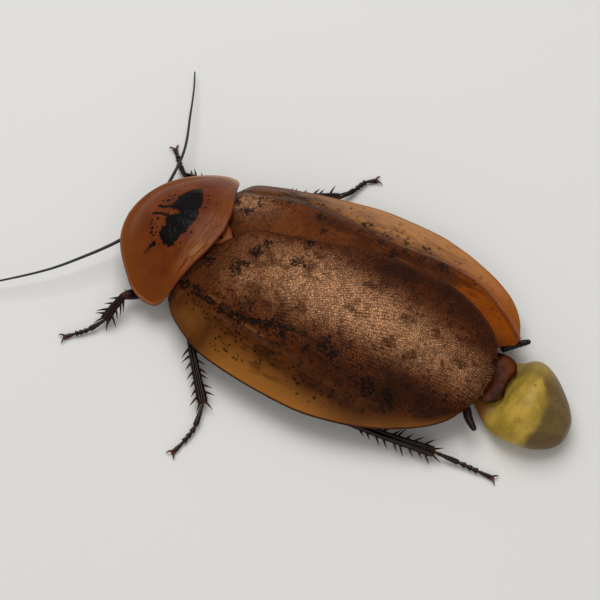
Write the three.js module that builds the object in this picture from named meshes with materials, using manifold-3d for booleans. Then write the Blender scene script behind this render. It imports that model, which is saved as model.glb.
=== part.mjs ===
import * as THREE from 'three';
import Module from 'manifold-3d';

const wasm = await Module();
wasm.setup();

// Driving sizes in millimetres. The head faces -Y, the left side is +X, the floor is z = 0.
const SHEET = 0.5;
const GAP = 0.3;
const PRONOTUM_THICKNESS = 0.7;
const PRONOTUM_RIM_Z = 4.7;
const PRONOTUM_RISE = 8.5;
const LEFT_TEGMEN_LIFT = 0.5;
const RIGHT_TEGMEN_LIFT = -0.42;
const HINDWING_LIFT = -1.45;
const BODY_CLEARANCE = 2.6;
const EDGE_POWER = 2.4;

// Outlines seen from above, as [x, y].
const PRONOTUM_HALF = [
  [0, -12.6], [2.4, -12.3], [5.2, -11.3], [7.8, -9.5], [10.8, -6.6], [13.2, -3.8], [14.3, -1.7],
  [14.2, -0.1], [13.0, 1.0], [10.5, 2.1], [7.5, 3.4], [4, 4.8], [0, 5.5],
];
const LEFT_OUTER = [
  [12.3, 0.9], [14.8, 3.1], [17.2, 6.8], [19.2, 11.4], [20.3, 18.0], [20.8, 24.5], [20.8, 31.0],
  [19.7, 37.2], [18.1, 42.4], [15.9, 46.9], [13.7, 50.3], [11.0, 53.2], [7.6, 55.4], [4.0, 56.6],
];
const LEFT_INNER = [
  [2.2, 2.0], [2.0, 4.6], [0.6, 6.9], [-2.4, 9.6], [-4.0, 15.6], [-5.4, 21.6], [-7.7, 28.0],
  [-9.0, 34.3], [-9.7, 39.2], [-10.2, 44.1], [-9.4, 47.9], [-7.9, 51.6], [-5.9, 54.4], [-2.8, 56.4],
];
const RIGHT_OUTER = [
  [-12.5, 0.8], [-15.0, 2.8], [-16.5, 6.4], [-18.3, 12.4], [-19.9, 19], [-21.2, 25.5], [-21.5, 31.5],
  [-21.4, 37], [-20.4, 42.4], [-18.9, 47.2], [-17.2, 51], [-15.2, 53.9], [-12.8, 56], [-10.0, 57.4],
];
const RIGHT_INNER = [
  [-2.2, 2.0], [-2.0, 4.6], [-0.6, 6.9], [2.2, 9.6], [3.6, 15.6], [4.4, 21.6], [4.6, 28.0],
  [4.2, 34.3], [3.4, 39.2], [2.0, 44.1], [0.4, 47.9], [-1.8, 51.6], [-4.0, 54.5], [-6.8, 57.2],
];

// Heights and half widths along the body, as [y, value].
const PRONOTUM_PROFILE = [
  [-14, 0.1], [-12, 0.24], [-10, 0.44], [-8, 0.6], [-4, 0.85], [0, 0.98], [5.4, 1.0], [9, 1.0],
];
const PRONOTUM_WIDTH = [[-14, 8.5], [-12, 9.5], [-8, 12], [-4, 13.6], [-1, 14.3], [9, 14.3]];
const BACK_MIDDLE = [
  [0, 9.8], [5.4, 11.3], [8, 12.3], [12, 13.2], [17, 13.8], [25, 14.2], [34, 13.6], [42, 12.0],
  [50, 10.0], [55, 8.4], [60, 7.0],
];
const BACK_EDGE = [[0, 4.2], [6, 4.6], [12, 4.8], [40, 4.8], [50, 5.0], [60, 5.4]];
const ABDOMEN_HALF_WIDTH = [
  [0, 7.2], [4, 8.6], [10, 11], [17, 14.0], [24, 15.8], [32, 16.2], [40, 14.8], [46, 12.2],
  [51, 9.2], [54.6, 6.4],
];
const BELLY_HEIGHT = [
  [0, 4.6], [10, 4.4], [17, 4.0], [24, 3.2], [32, 3.0], [42, 2.9], [50, 2.6], [54.6, 2.3],
];

// Small helpers for tables and vectors.
function lookUp(table, at) {
  const first = table[0];
  const last = table[table.length - 1];
  if (at <= first[0]) return first[1];
  if (at >= last[0]) return last[1];
  let i = 0;
  while (table[i + 1][0] < at) i += 1;
  const [x0, y0] = table[i];
  const [x1, y1] = table[i + 1];
  const before = i > 0 ? table[i - 1] : table[i];
  const after = i + 2 < table.length ? table[i + 2] : table[i + 1];
  const step = x1 - x0;
  const slope0 = (y1 - before[1]) / (x1 - before[0]);
  const slope1 = (after[1] - y0) / (after[0] - x0);
  const t = (at - x0) / step;
  const t2 = t * t;
  const t3 = t2 * t;
  return (2 * t3 - 3 * t2 + 1) * y0 + (t3 - 2 * t2 + t) * step * slope0
    + (3 * t2 - 2 * t3) * y1 + (t3 - t2) * step * slope1;
}

const minus = (a, b) => [a[0] - b[0], a[1] - b[1], a[2] - b[2]];
const along = (a, d, s) => [a[0] + d[0] * s, a[1] + d[1] * s, a[2] + d[2] * s];
const cross = (a, b) => [
  a[1] * b[2] - a[2] * b[1],
  a[2] * b[0] - a[0] * b[2],
  a[0] * b[1] - a[1] * b[0],
];

function unit(a) {
  const length = Math.hypot(a[0], a[1], a[2]);
  return [a[0] / length, a[1] / length, a[2] / length];
}

function smoothPath(points, count) {
  const curve = new THREE.CatmullRomCurve3(points.map((p) => new THREE.Vector3(p[0], p[1], p[2] ?? 0)));
  return curve.getPoints(count - 1).map((v) => [v.x, v.y, v.z]);
}

// A body is a list of points and a list of triangles.
function outward(body) {
  let volume = 0;
  for (const [a, b, c] of body.faces) {
    const n = cross(body.points[b], body.points[c]);
    volume += body.points[a][0] * n[0] + body.points[a][1] * n[1] + body.points[a][2] * n[2];
  }
  if (volume < 0) body.faces = body.faces.map(([a, b, c]) => [a, c, b]);
  return body;
}

function loft(rings) {
  const n = rings[0].length;
  const points = rings.flat();
  const faces = [];
  for (let k = 0; k + 1 < rings.length; k += 1) {
    for (let i = 0; i < n; i += 1) {
      const a = k * n + i;
      const b = k * n + ((i + 1) % n);
      faces.push([a, b, b + n], [a, b + n, a + n]);
    }
  }
  for (const [start, flip] of [[0, true], [(rings.length - 1) * n, false]]) {
    const middle = [0, 0, 0];
    for (let i = 0; i < n; i += 1) {
      for (let c = 0; c < 3; c += 1) middle[c] += points[start + i][c] / n;
    }
    const hub = points.length;
    points.push(middle);
    for (let i = 0; i < n; i += 1) {
      const a = start + i;
      const b = start + ((i + 1) % n);
      faces.push(flip ? [b, a, hub] : [a, b, hub]);
    }
  }
  return outward({ points, faces });
}

// Sweeps an oval along a path; every stop is [x, y, z, half width, half depth].
function limb(stops, sides = 8, upHint = [0, 0, 1]) {
  const rings = stops.map((stop, k) => {
    const before = stops[Math.max(0, k - 1)];
    const after = stops[Math.min(stops.length - 1, k + 1)];
    const heading = unit(minus(after, before));
    const side = unit(cross(heading, upHint));
    const up = cross(side, heading);
    const ring = [];
    for (let i = 0; i < sides; i += 1) {
      const angle = (2 * Math.PI * (i + 0.5)) / sides;
      const out = along(stop, side, stop[3] * Math.cos(angle));
      ring.push(along(out, up, stop[4] * Math.sin(angle)));
    }
    return ring;
  });
  return loft(rings);
}

function toSolid(body) {
  return new wasm.Manifold(new wasm.Mesh({
    numProp: 3,
    vertProperties: Float32Array.from(body.points.flat()),
    triVerts: Uint32Array.from(body.faces.flat()),
  }));
}

function fromSolid(solid) {
  const mesh = solid.getMesh();
  const points = [];
  for (let i = 0; i < mesh.vertProperties.length; i += mesh.numProp) {
    points.push([mesh.vertProperties[i], mesh.vertProperties[i + 1], mesh.vertProperties[i + 2]]);
  }
  const faces = [];
  for (let i = 0; i < mesh.triVerts.length; i += 3) {
    faces.push([mesh.triVerts[i], mesh.triVerts[i + 1], mesh.triVerts[i + 2]]);
  }
  return { points, faces };
}

function joined(bodies) {
  return fromSolid(bodies.map(toSolid).reduce((a, b) => a.add(b)));
}

function without(body, cutter) {
  return fromSolid(toSolid(body).subtract(toSolid(cutter)));
}

function block(x0, x1, y0, y1, z0, z1) {
  return loft([
    [[x0, y0, z0], [x1, y0, z0], [x1, y1, z0], [x0, y1, z0]],
    [[x0, y0, z1], [x1, y0, z1], [x1, y1, z1], [x0, y1, z1]],
  ]);
}

const BELOW_FLOOR = block(-60, 60, -60, 110, -8, 0);

function standing(body) {
  return without(body, BELOW_FLOOR);
}

// Heights of the two arched upper surfaces.
function pronotumHeight(x, y) {
  const share = Math.min(1.0, Math.abs(x) / lookUp(PRONOTUM_WIDTH, y));
  return PRONOTUM_RIM_Z + PRONOTUM_RISE * (1 - share ** 2.2) * lookUp(PRONOTUM_PROFILE, y);
}

const byY = (outline) => outline.map(([x, y]) => [y, Math.abs(x)]);
const LEFT_HALF_WIDTH = byY(LEFT_OUTER);
const RIGHT_HALF_WIDTH = byY(RIGHT_OUTER);

function pronotumRearEdge(x) {
  const rear = [[0, 5.5], [4, 4.8], [7.5, 3.4], [10.5, 2.1], [13.0, 1.0], [14.2, -0.1]];
  return lookUp(rear, Math.abs(x));
}

function backHeight(x, y) {
  const width = lookUp(x >= 0 ? LEFT_HALF_WIDTH : RIGHT_HALF_WIDTH, y);
  const edge = lookUp(BACK_EDGE, y);
  const share = Math.min(1.1, Math.abs(x) / width);
  const height = edge + (lookUp(BACK_MIDDLE, y) - edge) * (1 - share ** EDGE_POWER);
  if (y > pronotumRearEdge(x) + 0.8) return height;
  return Math.min(height, pronotumHeight(x, y) - PRONOTUM_THICKNESS - GAP - LEFT_TEGMEN_LIFT - 0.25);
}

// A thin sheet: a grid of top points and the same grid pushed inward by its thickness.
function sheet(grid, thickness) {
  const rows = grid.length;
  const columns = grid[0].length;
  const clampRow = (k) => Math.max(0, Math.min(rows - 1, k));
  const clampColumn = (i) => Math.max(0, Math.min(columns - 1, i));
  const under = grid.map((row, k) => row.map((p, i) => {
    const down = minus(grid[clampRow(k + 1)][i], grid[clampRow(k - 1)][i]);
    const across = minus(row[clampColumn(i + 1)], row[clampColumn(i - 1)]);
    let normal = unit(cross(across, down));
    if (normal[2] > 0) normal = along([0, 0, 0], normal, -1);
    return along(p, normal, thickness);
  }));
  const points = [...grid.flat(), ...under.flat()];
  const half = rows * columns;
  const faces = [];
  for (let k = 0; k + 1 < rows; k += 1) {
    for (let i = 0; i + 1 < columns; i += 1) {
      const a = k * columns + i;
      const b = a + columns;
      faces.push([a, a + 1, b + 1], [a, b + 1, b]);
      faces.push([half + a, half + b + 1, half + a + 1], [half + a, half + b, half + b + 1]);
    }
  }
  const border = [];
  for (let i = 0; i < columns - 1; i += 1) border.push(i);
  for (let k = 0; k < rows - 1; k += 1) border.push(k * columns + columns - 1);
  for (let i = columns - 1; i > 0; i -= 1) border.push((rows - 1) * columns + i);
  for (let k = rows - 1; k > 0; k -= 1) border.push(k * columns);
  border.forEach((a, j) => {
    const b = border[(j + 1) % border.length];
    faces.push([b, a, half + a], [b, half + a, half + b]);
  });
  return outward({ points, faces });
}

function wing(inner, outer, rows, columns, lift, bulge) {
  const inside = smoothPath(inner, rows);
  const outside = smoothPath(outer, rows);
  const grid = inside.map((from, k) => {
    const to = outside[k];
    const row = [];
    for (let i = 0; i < columns; i += 1) {
      const u = i / (columns - 1);
      const x = from[0] + (to[0] - from[0]) * u;
      const tipShare = Math.max(0, (k / (rows - 1) - 0.85) / 0.15);
      const y = from[1] + (to[1] - from[1]) * u + bulge * tipShare * Math.sin(Math.PI * u);
      row.push([x, y, backHeight(x, y) + lift]);
    }
    return row;
  });
  return sheet(grid, SHEET);
}

// The dished shield is built in rings from its middle to its rim.
// The shield sits a little askew: its front is pushed to the left and forwards.
function askew([x, y]) {
  const t = Math.max(0, Math.min(1, (1 - y) / 7));
  const share = t * t * (3 - 2 * t);
  return [x + 1.2 * share, y - 0.7 * share];
}

function pronotum() {
  const left = smoothPath(PRONOTUM_HALF, 14);
  const right = left.slice(1, -1).reverse().map(([x, y]) => [-x, y, 0]);
  const rim = [...left, ...right].map(askew);
  const centre = [0, -2.6];
  const steps = [0.3, 0.55, 0.75, 0.9, 1];
  const surface = (lower) => {
    const ringAt = (s) => rim.map(([x, y]) => {
      const px = centre[0] + (x - centre[0]) * s;
      const py = centre[1] + (y - centre[1]) * s;
      return [px, py, pronotumHeight(px, py) - lower * (1 + 0.35 * (Math.abs(px) / 14) ** 2)];
    });
    return steps.map(ringAt);
  };
  const top = surface(0);
  const bottom = surface(PRONOTUM_THICKNESS).reverse();
  return loft([...top, ...bottom]);
}

// The trunk is a row of ovals, stepped where one ring plate slides over the next.
function trunkRing(y, grow, count = 16) {
  const half = lookUp(ABDOMEN_HALF_WIDTH, y) + grow;
  const top = backHeight(0, y) - BODY_CLEARANCE + grow * 0.5;
  const low = lookUp(BELLY_HEIGHT, y) - grow * 0.4;
  const middle = low + (top - low) * 0.42;
  const ring = [];
  for (let i = 0; i < count; i += 1) {
    const angle = (2 * Math.PI * (i + 0.5)) / count;
    const reach = Math.sin(angle) > 0 ? top - middle : middle - low;
    const x = half * Math.cos(angle);
    const roof = backHeight(x, y) - BODY_CLEARANCE;
    ring.push([x, y, Math.min(middle + reach * Math.sin(angle), roof)]);
  }
  return ring;
}

function steppedTrunk(stations) {
  const rings = [];
  for (let i = 0; i + 1 < stations.length; i += 1) {
    rings.push(trunkRing(stations[i], -0.45));
    rings.push(trunkRing(stations[i + 1] - 0.35, 0));
  }
  return loft(rings);
}

function prothorax() {
  const stops = [[-4.1, 2.0, 6.3, 9.0], [-3.1, 3.4, 5.3, 10.4], [-1.2, 5.4, 4.5, 11.3], [0.7, 6.4, 4.5, 9.0]];
  return loft(stops.map(([y, half, low, top]) => {
    const ring = [];
    for (let i = 0; i < 16; i += 1) {
      const angle = (2 * Math.PI * (i + 0.5)) / 16;
      ring.push([half * Math.cos(angle), y, (low + top) / 2 + ((top - low) / 2) * Math.sin(angle)]);
    }
    return ring;
  }));
}

// The head hangs under the front of the shield with its mouth toward the floor.
const HEAD_TOP = [0, -8.0, 8.3];
const HEAD_DOWN = unit([0, 0.52, -0.85]);
const HEAD_FRONT = unit([0, -0.85, -0.52]);

function headPoint(side, front, down) {
  return along(along(along(HEAD_TOP, [1, 0, 0], side), HEAD_FRONT, front), HEAD_DOWN, down);
}

function headPiece(stops, sides = 14) {
  return loft(stops.map(([down, half, deep, front = 0, shift = 0]) => {
    const ring = [];
    for (let i = 0; i < sides; i += 1) {
      const angle = (2 * Math.PI * (i + 0.5)) / sides;
      ring.push(headPoint(shift + half * Math.cos(angle), front + deep * Math.sin(angle), down));
    }
    return ring;
  }));
}

function headShell(grow) {
  return headPiece([
    [-0.1 - grow, 0.9 + grow, 0.7 + grow], [0.25, 2.1 + grow, 1.35 + grow], [1.0, 3.0 + grow, 1.75 + grow],
    [2.2, 3.4 + grow, 1.95 + grow], [3.5, 3.2 + grow, 1.9 + grow], [4.6, 2.6 + grow, 1.7 + grow],
    [5.5 + grow, 2.0 + grow, 1.4 + grow],
  ]);
}

function eye(side) {
  const body = headPiece([
    [0.35, 0.35, 0.5, 0.1, side * 2.6], [0.8, 0.75, 1.05, 0.15, side * 2.95],
    [1.6, 0.85, 1.35, 0.25, side * 3.15],
    [2.5, 0.8, 1.3, 0.4, side * 3.2], [3.3, 0.6, 0.9, 0.5, side * 3.0], [3.7, 0.25, 0.4, 0.5, side * 2.9],
  ], 12);
  return without(body, headShell(GAP));
}

function antenna(points, side) {
  const path = smoothPath(points, 14);
  const stops = path.map((p, k) => {
    const radius = k === 0 ? 0.5 : 0.46 - 0.2 * (k / 13);
    return [...p, radius, radius];
  });
  const scape = limb([
    [...headPoint(side * 1.5, 1.5, 2.6), 0.62, 0.62],
    [...headPoint(side * 1.8, 2.6, 2.4), 0.7, 0.7],
    [...headPoint(side * 2.2, 3.5, 2.1), 0.55, 0.55],
  ], 8, [1, 0, 0]);
  return without(joined([limb(stops, 6), scape]), headShell(GAP));
}

function palp(side) {
  const stops = [
    [side * 2.0, -3.9, 2.7, 0.32, 0.32], [side * 2.9, -4.9, 1.9, 0.34, 0.34],
    [side * 3.2, -6.2, 1.3, 0.36, 0.36],
    [side * 3.1, -7.4, 1.5, 0.33, 0.33], [side * 2.8, -8.5, 1.4, 0.42, 0.42],
    [side * 2.6, -9.2, 1.1, 0.26, 0.26],
  ];
  return without(limb(stops, 7), headShell(GAP));
}

// Legs. Every leg is given by its joints and by where its spines stand.
const LEGS = {
  front_left: {
    coxa: [[4.0, -1.6, 3.1], [7.0, -1.2, 2.5]],
    femur: [[7.4, -1.3, 2.4], [10.8, -3.4, 2.3], [12.9, -4.9, 2.7], [14.7, -6.2, 3.9]],
    tibia: [[15.0, -6.5, 3.6], [17.2, -7.1, 2.7], [19.7, -7.6, 1.5]],
    tarsus: [[20.0, -7.8, 1.25], [22.4, -9.4, 0.85], [24.2, -11.2, 0.6], [25.3, -12.3, 0.45]],
    spines: 6,
  },
  front_right: {
    coxa: [[-4.0, -1.6, 3.1], [-6.4, 0.2, 2.5]],
    femur: [[-6.7, 0.3, 2.4], [-9.4, -1.2, 2.3], [-11.0, -2.6, 2.3], [-12.3, -4.0, 2.5]],
    tibia: [[-12.4, -4.4, 2.4], [-12.3, -7.2, 2.0], [-12.1, -9.7, 1.4]],
    tarsus: [[-12.2, -10.0, 1.2], [-14.0, -11.8, 0.85], [-15.6, -13.3, 0.6], [-16.8, -14.5, 0.45]],
    spines: 6,
  },
  middle_left: {
    coxa: [[3.8, 6.0, 2.9], [6.6, 10.0, 2.4]],
    femur: [[6.9, 10.1, 2.3], [10.5, 8.8, 2.2], [13.2, 7.6, 2.5], [15.4, 6.9, 3.4]],
    tibia: [[15.8, 7.1, 3.2], [20.6, 11.0, 2.4], [25.6, 15.3, 1.5]],
    tarsus: [[26.0, 15.6, 1.25], [29.9, 16.0, 0.9], [32.9, 15.6, 0.6], [35.3, 15.0, 0.45]],
    spines: 10,
  },
  middle_right: {
    coxa: [[-3.8, 6.0, 2.9], [-6.2, 10.0, 2.4]],
    femur: [[-6.5, 10.1, 2.3], [-9.6, 8.2, 2.2], [-12.2, 6.6, 2.5], [-14.3, 5.7, 3.3]],
    tibia: [[-14.7, 6.0, 3.2], [-17.9, 11.0, 2.4], [-21.5, 16.8, 1.5]],
    tarsus: [[-21.8, 17.2, 1.25], [-24.3, 18.0, 0.95], [-26.8, 18.9, 0.7], [-28.2, 20.4, 0.45]],
    spines: 10,
  },
  hind_left: {
    coxa: [[3.9, 15.0, 2.6], [8.0, 23.6, 2.1]],
    femur: [[8.3, 23.9, 2.0], [12.2, 29.6, 1.9], [15.6, 34.8, 2.2], [17.6, 37.8, 3.5]],
    tibia: [[17.8, 38.3, 3.4], [16.6, 45.6, 2.6], [14.9, 54.0, 1.5]],
    tarsus: [[14.8, 54.5, 1.25], [14.4, 58.6, 0.85], [14.2, 61.8, 0.6], [14.1, 64.2, 0.45]],
    spines: 12,
  },
  hind_right: {
    coxa: [[-3.9, 15.0, 2.6], [-7.6, 22.6, 2.1]],
    femur: [[-7.9, 22.8, 2.0], [-12.0, 26.2, 1.9], [-15.4, 29.4, 2.2], [-17.6, 31.6, 3.3]],
    tibia: [[-17.8, 32.1, 3.2], [-17.0, 39.0, 2.5], [-15.6, 46.6, 1.5]],
    tarsus: [[-15.4, 47.0, 1.25], [-14.2, 49.6, 0.85], [-13.0, 51.6, 0.6], [-12.1, 53.4, 0.45]],
    spines: 12,
  },
};

function pathPoint(points, share) {
  const curve = new THREE.CatmullRomCurve3(points.map((p) => new THREE.Vector3(...p)));
  const at = curve.getPoint(share);
  const heading = curve.getTangent(share);
  return { at: [at.x, at.y, at.z], heading: [heading.x, heading.y, heading.z] };
}

// With grow, the segment is fattened all round; the next one is cut back by that shape.
function segment(points, count, halfWidth, halfDepth, grow = 0) {
  const stops = [];
  for (let k = 0; k < count; k += 1) {
    const share = k / (count - 1);
    const { at, heading } = pathPoint(points, share);
    const push = k === 0 ? -grow : k === count - 1 ? grow : 0;
    stops.push([...along(at, heading, push), halfWidth(share) + grow, halfDepth(share) + grow]);
  }
  return limb(stops, 7);
}

function coxa(points, grow = 0) {
  return segment(points, 4, (s) => 1.9 - 0.7 * s, (s) => 1.05 - 0.15 * s, grow);
}

function femur(points, size, grow = 0) {
  const swell = (s) => Math.sin(Math.PI * (0.2 + 0.72 * s)) ** 0.7;
  return segment(points, 6, (s) => size * (0.35 + 0.85 * swell(s)), (s) => 0.35 + 0.6 * swell(s), grow);
}

function shin(points, size, grow = 0) {
  return segment(points, 4, (s) => size * (0.72 + 0.38 * s), (s) => 0.5 + 0.18 * s, grow);
}

function tibia(points, size, spines) {
  const pieces = [shin(points, size)];
  for (let j = 0; j < spines; j += 1) {
    const share = 0.2 + (0.76 * (Math.floor(j / 2) + 0.5 * (j % 2))) / (spines / 2);
    const { at, heading } = pathPoint(points, Math.min(0.95, share));
    const side = unit(cross(heading, [0, 0, 1]));
    const out = j % 2 ? side : along([0, 0, 0], side, -1);
    const direction = unit(along(along(out, heading, 0.55), [0, 0, 1], j % 4 < 2 ? 0.1 : -0.05));
    const base = along(at, out, size * 0.35);
    const tip = along(base, direction, size * 0.5 + 1.9);
    pieces.push(limb([[...base, 0.36, 0.36], [...tip, 0.13, 0.13]], 4));
  }
  return joined(pieces);
}

function tarsus(points) {
  const joints = [0, 0.42, 0.54, 0.65, 0.75, 1];
  const pieces = [];
  const stops = [];
  for (let j = 0; j < 5; j += 1) {
    const a = joints[j];
    const b = joints[j + 1];
    stops.push([a + 0.01, 0.32], [b - 0.015, j === 4 ? 0.5 : 0.56]);
  }
  pieces.push(limb(stops.map(([share, radius]) => {
    const { at } = pathPoint(points, share);
    return [...at, radius, Math.max(0.3, radius - 0.06)];
  }), 6));
  const { at, heading } = pathPoint(points, 1);
  const flat = unit([heading[0], heading[1], 0]);
  const side = [flat[1], -flat[0], 0];
  const pad = [];
  for (const [forward, half] of [[-0.9, 0.35], [-0.5, 0.55], [0.1, 0.55], [0.45, 0.3]]) {
    const middle = along([at[0], at[1], 0.1], flat, forward);
    pad.push([...middle, half, 0.34]);
  }
  pieces.push(limb(pad, 6));
  for (const turn of [-1, 1]) {
    const spread = unit(along(flat, side, turn * 0.75));
    const root = along(at, flat, -0.35);
    const claw = [
      [...root, 0.3, 0.3],
      [...along([at[0], at[1], at[2] + 0.1], spread, 0.75), 0.26, 0.26],
      [...along([at[0], at[1], 0.1], spread, 1.5), 0.12, 0.12],
    ];
    pieces.push(limb(claw, 4));
  }
  return standing(joined(pieces));
}

// The egg pouch pushed out behind the belly, squashed flat where it rests.
function broodSac() {
  const stops = [
    [54.9, 3.6, 1.6, 4.3, 0.1], [56.6, 4.8, 0.7, 4.35, 0.1], [58.6, 6.3, 0.1, 4.3, 0.1],
    [60.2, 7.2, -0.5, 4.6, 0.1],
    [61.4, 7.7, -0.9, 6.8, 0.2], [63.0, 7.8, -1.2, 8.5, 0.3], [65.0, 7.4, -1.3, 9.0, 0.6],
    [67.2, 6.5, -1.2, 8.5, 1.1], [69.0, 5.3, -0.9, 7.5, 1.4], [70.6, 3.9, -0.3, 6.2, 1.6],
    [71.7, 2.4, 0.6, 4.9, 1.7], [72.1, 1.0, 1.8, 3.9, 1.7],
  ];
  const rings = stops.map(([y, half, low, top, shift]) => {
    const ring = [];
    for (let i = 0; i < 18; i += 1) {
      const angle = (2 * Math.PI * (i + 0.5)) / 18;
      ring.push([
        shift + half * Math.cos(angle),
        y,
        (low + top) / 2 + ((top - low) / 2) * Math.sin(angle),
      ]);
    }
    return ring;
  });
  return standing(loft(rings));
}

function supraAnalPlate() {
  const rows = [[54.9, 4.4, 5.6], [56.6, 4.8, 5.7], [58.2, 4.7, 5.75], [59.4, 3.9, 5.75], [60.1, 2.4, 5.7]];
  const grid = rows.map(([y, half, top]) => {
    const row = [];
    for (let i = 0; i < 9; i += 1) {
      const u = (i / 8) * 2 - 1;
      const notch = y > 59 ? -0.5 * (1 - Math.abs(u)) : 0;
      row.push([half * u - 0.6, y + notch, top - 0.45 * u * u]);
    }
    return row;
  });
  return sheet(grid, 0.6);
}

function cercus(points) {
  const stops = [];
  for (let k = 0; k < 9; k += 1) {
    const share = k / 8;
    const { at } = pathPoint(points, share);
    const radius = (k % 2 ? 0.62 : 0.74) * (1 - 0.62 * share ** 1.5);
    stops.push([...at, radius * 1.15, radius]);
  }
  return limb(stops, 8);
}

function scutellum() {
  const plan = [[-1.5, 2.3], [1.5, 2.3], [1.2, 4.6], [0.15, 6.4], [-1.2, 4.6]];
  const rings = [[9.9, 0.75], [11.2, 1], [11.7, 0.9]].map(([z, size]) => (
    plan.map(([x, y]) => [x * size, 2.3 + (y - 2.3) * size, z + (z > 11 ? 0.05 * (y - 2.3) : 0)])
  ));
  return loft(rings);
}

// Colours and finishes, one entry for each outside surface.
const FINISHES = {
  pronotum_shell: ['#5c2d16', 0.28],
  tegmen_membrane: ['#7d5536', 0.35],
  hindwing_membrane: ['#8a6a45', 0.5],
  head_cuticle: ['#3a1a0e', 0.35],
  eye_cuticle: ['#0c0a0a', 0.15],
  mouth_cuticle: ['#5a2f16', 0.4],
  feeler_cuticle: ['#17100c', 0.5],
  belly_cuticle: ['#5e3116', 0.4],
  leg_cuticle: ['#1d0d09', 0.25],
  sac_skin: ['#7a5c26', 0.35],
};

const materials = {};
for (const [name, [color, roughness]] of Object.entries(FINISHES)) {
  materials[name] = new THREE.MeshStandardMaterial({ color, roughness, metalness: 0 });
  materials[name].name = name;
}

const model = new THREE.Group();
model.name = 'giant_peppered_cockroach';

function place(name, body, finish) {
  const geometry = new THREE.BufferGeometry();
  geometry.setAttribute('position', new THREE.Float32BufferAttribute(body.points.flat(), 3));
  geometry.setIndex(body.faces.flat());
  geometry.computeVertexNormals();
  const mesh = new THREE.Mesh(geometry, materials[finish]);
  mesh.name = name;
  model.add(mesh);
}

place('pronotum', pronotum(), 'pronotum_shell');
place('scutellum', scutellum(), 'pronotum_shell');
place('tegmen_left', wing(LEFT_INNER, LEFT_OUTER, 19, 9, LEFT_TEGMEN_LIFT, 0.7), 'tegmen_membrane');
place('tegmen_right', wing(RIGHT_INNER, RIGHT_OUTER, 19, 9, RIGHT_TEGMEN_LIFT, 0.5), 'tegmen_membrane');
for (const [name, side] of [['left', 1], ['right', -1]]) {
  const inner = [[0.5, 7.5], [0.5, 18], [0.5, 30], [0.5, 42], [0.5, 49]].map(([x, y]) => [side * x, y]);
  const outer = [[9, 7.5], [14, 18], [16, 30], [13.6, 42], [7, 50]].map(([x, y]) => [side * x, y]);
  place(`hindwing_${name}`, wing(inner, outer, 10, 6, HINDWING_LIFT, 0.6), 'hindwing_membrane');
}

place('prothorax', prothorax(), 'belly_cuticle');
place('thorax', steppedTrunk([1.2, 9, 17.2]), 'belly_cuticle');
place('abdomen', steppedTrunk([17.3, 23, 28.5, 34, 39.5, 44.5, 49.5, 54.95]), 'belly_cuticle');
place('supra_anal_plate', supraAnalPlate(), 'belly_cuticle');
place('cercus_left', cercus([[6.2, 55.2, 4.2], [7.7, 56.4, 4.1], [9.4, 58.4, 4.3]]), 'leg_cuticle');
place('cercus_right', cercus([[-6.4, 55.5, 4.5], [-8.1, 57.0, 4.3], [-10.1, 59.4, 4.5]]), 'leg_cuticle');
place('brood_sac', broodSac(), 'sac_skin');

place('head', headShell(0), 'head_cuticle');
place('labrum', headPiece([
  [5.85, 1.2, 0.45, 0.98], [6.4, 1.25, 0.42, 1.0], [7.0, 0.8, 0.32, 1.0],
], 10), 'mouth_cuticle');
place('labium', headPiece([
  [5.85, 1.3, 0.35, -0.98], [6.5, 1.35, 0.35, -0.98], [7.2, 0.7, 0.3, -0.95],
], 10), 'mouth_cuticle');
for (const [name, side] of [['left', 1], ['right', -1]]) {
  place(`eye_${name}`, eye(side), 'eye_cuticle');
  place(`mandible_${name}`, headPiece([
    [5.85, 0.6, 0.3, 0.0, side * 0.95], [6.5, 0.5, 0.3, 0.0, side * 0.85], [7.1, 0.3, 0.26, 0.0, side * 0.6],
  ], 8), 'mouth_cuticle');
  place(`maxillary_palp_${name}`, palp(side), 'mouth_cuticle');
}

const leftFeeler = [
  headPoint(1.9, 2.9, 2.35), [4.6, -11.4, 4.6], [7.4, -13.2, 4.3], [11.0, -15.8, 4.1], [16.4, -20.4, 3.6],
  [22.0, -27.0, 2.7], [26.3, -33.4, 1.3],
];
const rightFeeler = [
  headPoint(-1.9, 2.9, 2.35), [-4.8, -10.9, 4.4], [-8.4, -10.8, 4.0], [-15.6, -11.8, 3.9],
  [-23.2, -14.9, 3.1],
  [-28.6, -17.3, 2.2], [-32.6, -19.4, 1.3],
];
place('antenna_left', antenna(leftFeeler, 1), 'feeler_cuticle');
place('antenna_right', antenna(rightFeeler, -1), 'feeler_cuticle');

for (const [name, leg] of Object.entries(LEGS)) {
  const size = name.startsWith('hind') ? 1.05 : 0.95;
  const thigh = without(femur(leg.femur, size * 1.15), coxa(leg.coxa, GAP));
  const spinedShin = without(tibia(leg.tibia, size, leg.spines), femur(leg.femur, size * 1.15, GAP));
  place(`coxa_${name}`, coxa(leg.coxa), 'leg_cuticle');
  place(`femur_${name}`, thigh, 'leg_cuticle');
  place(`tibia_${name}`, spinedShin, 'leg_cuticle');
  place(`tarsus_${name}`, without(tarsus(leg.tarsus), shin(leg.tibia, size, GAP)), 'leg_cuticle');
}

// The origin is the middle of the whole animal's outline, on the floor.
const extent = new THREE.Box3().setFromObject(model);
const middle = extent.getCenter(new THREE.Vector3());
for (const mesh of model.children) mesh.geometry.translate(-middle.x, -middle.y, 0);

export default model;
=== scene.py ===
import math

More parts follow.
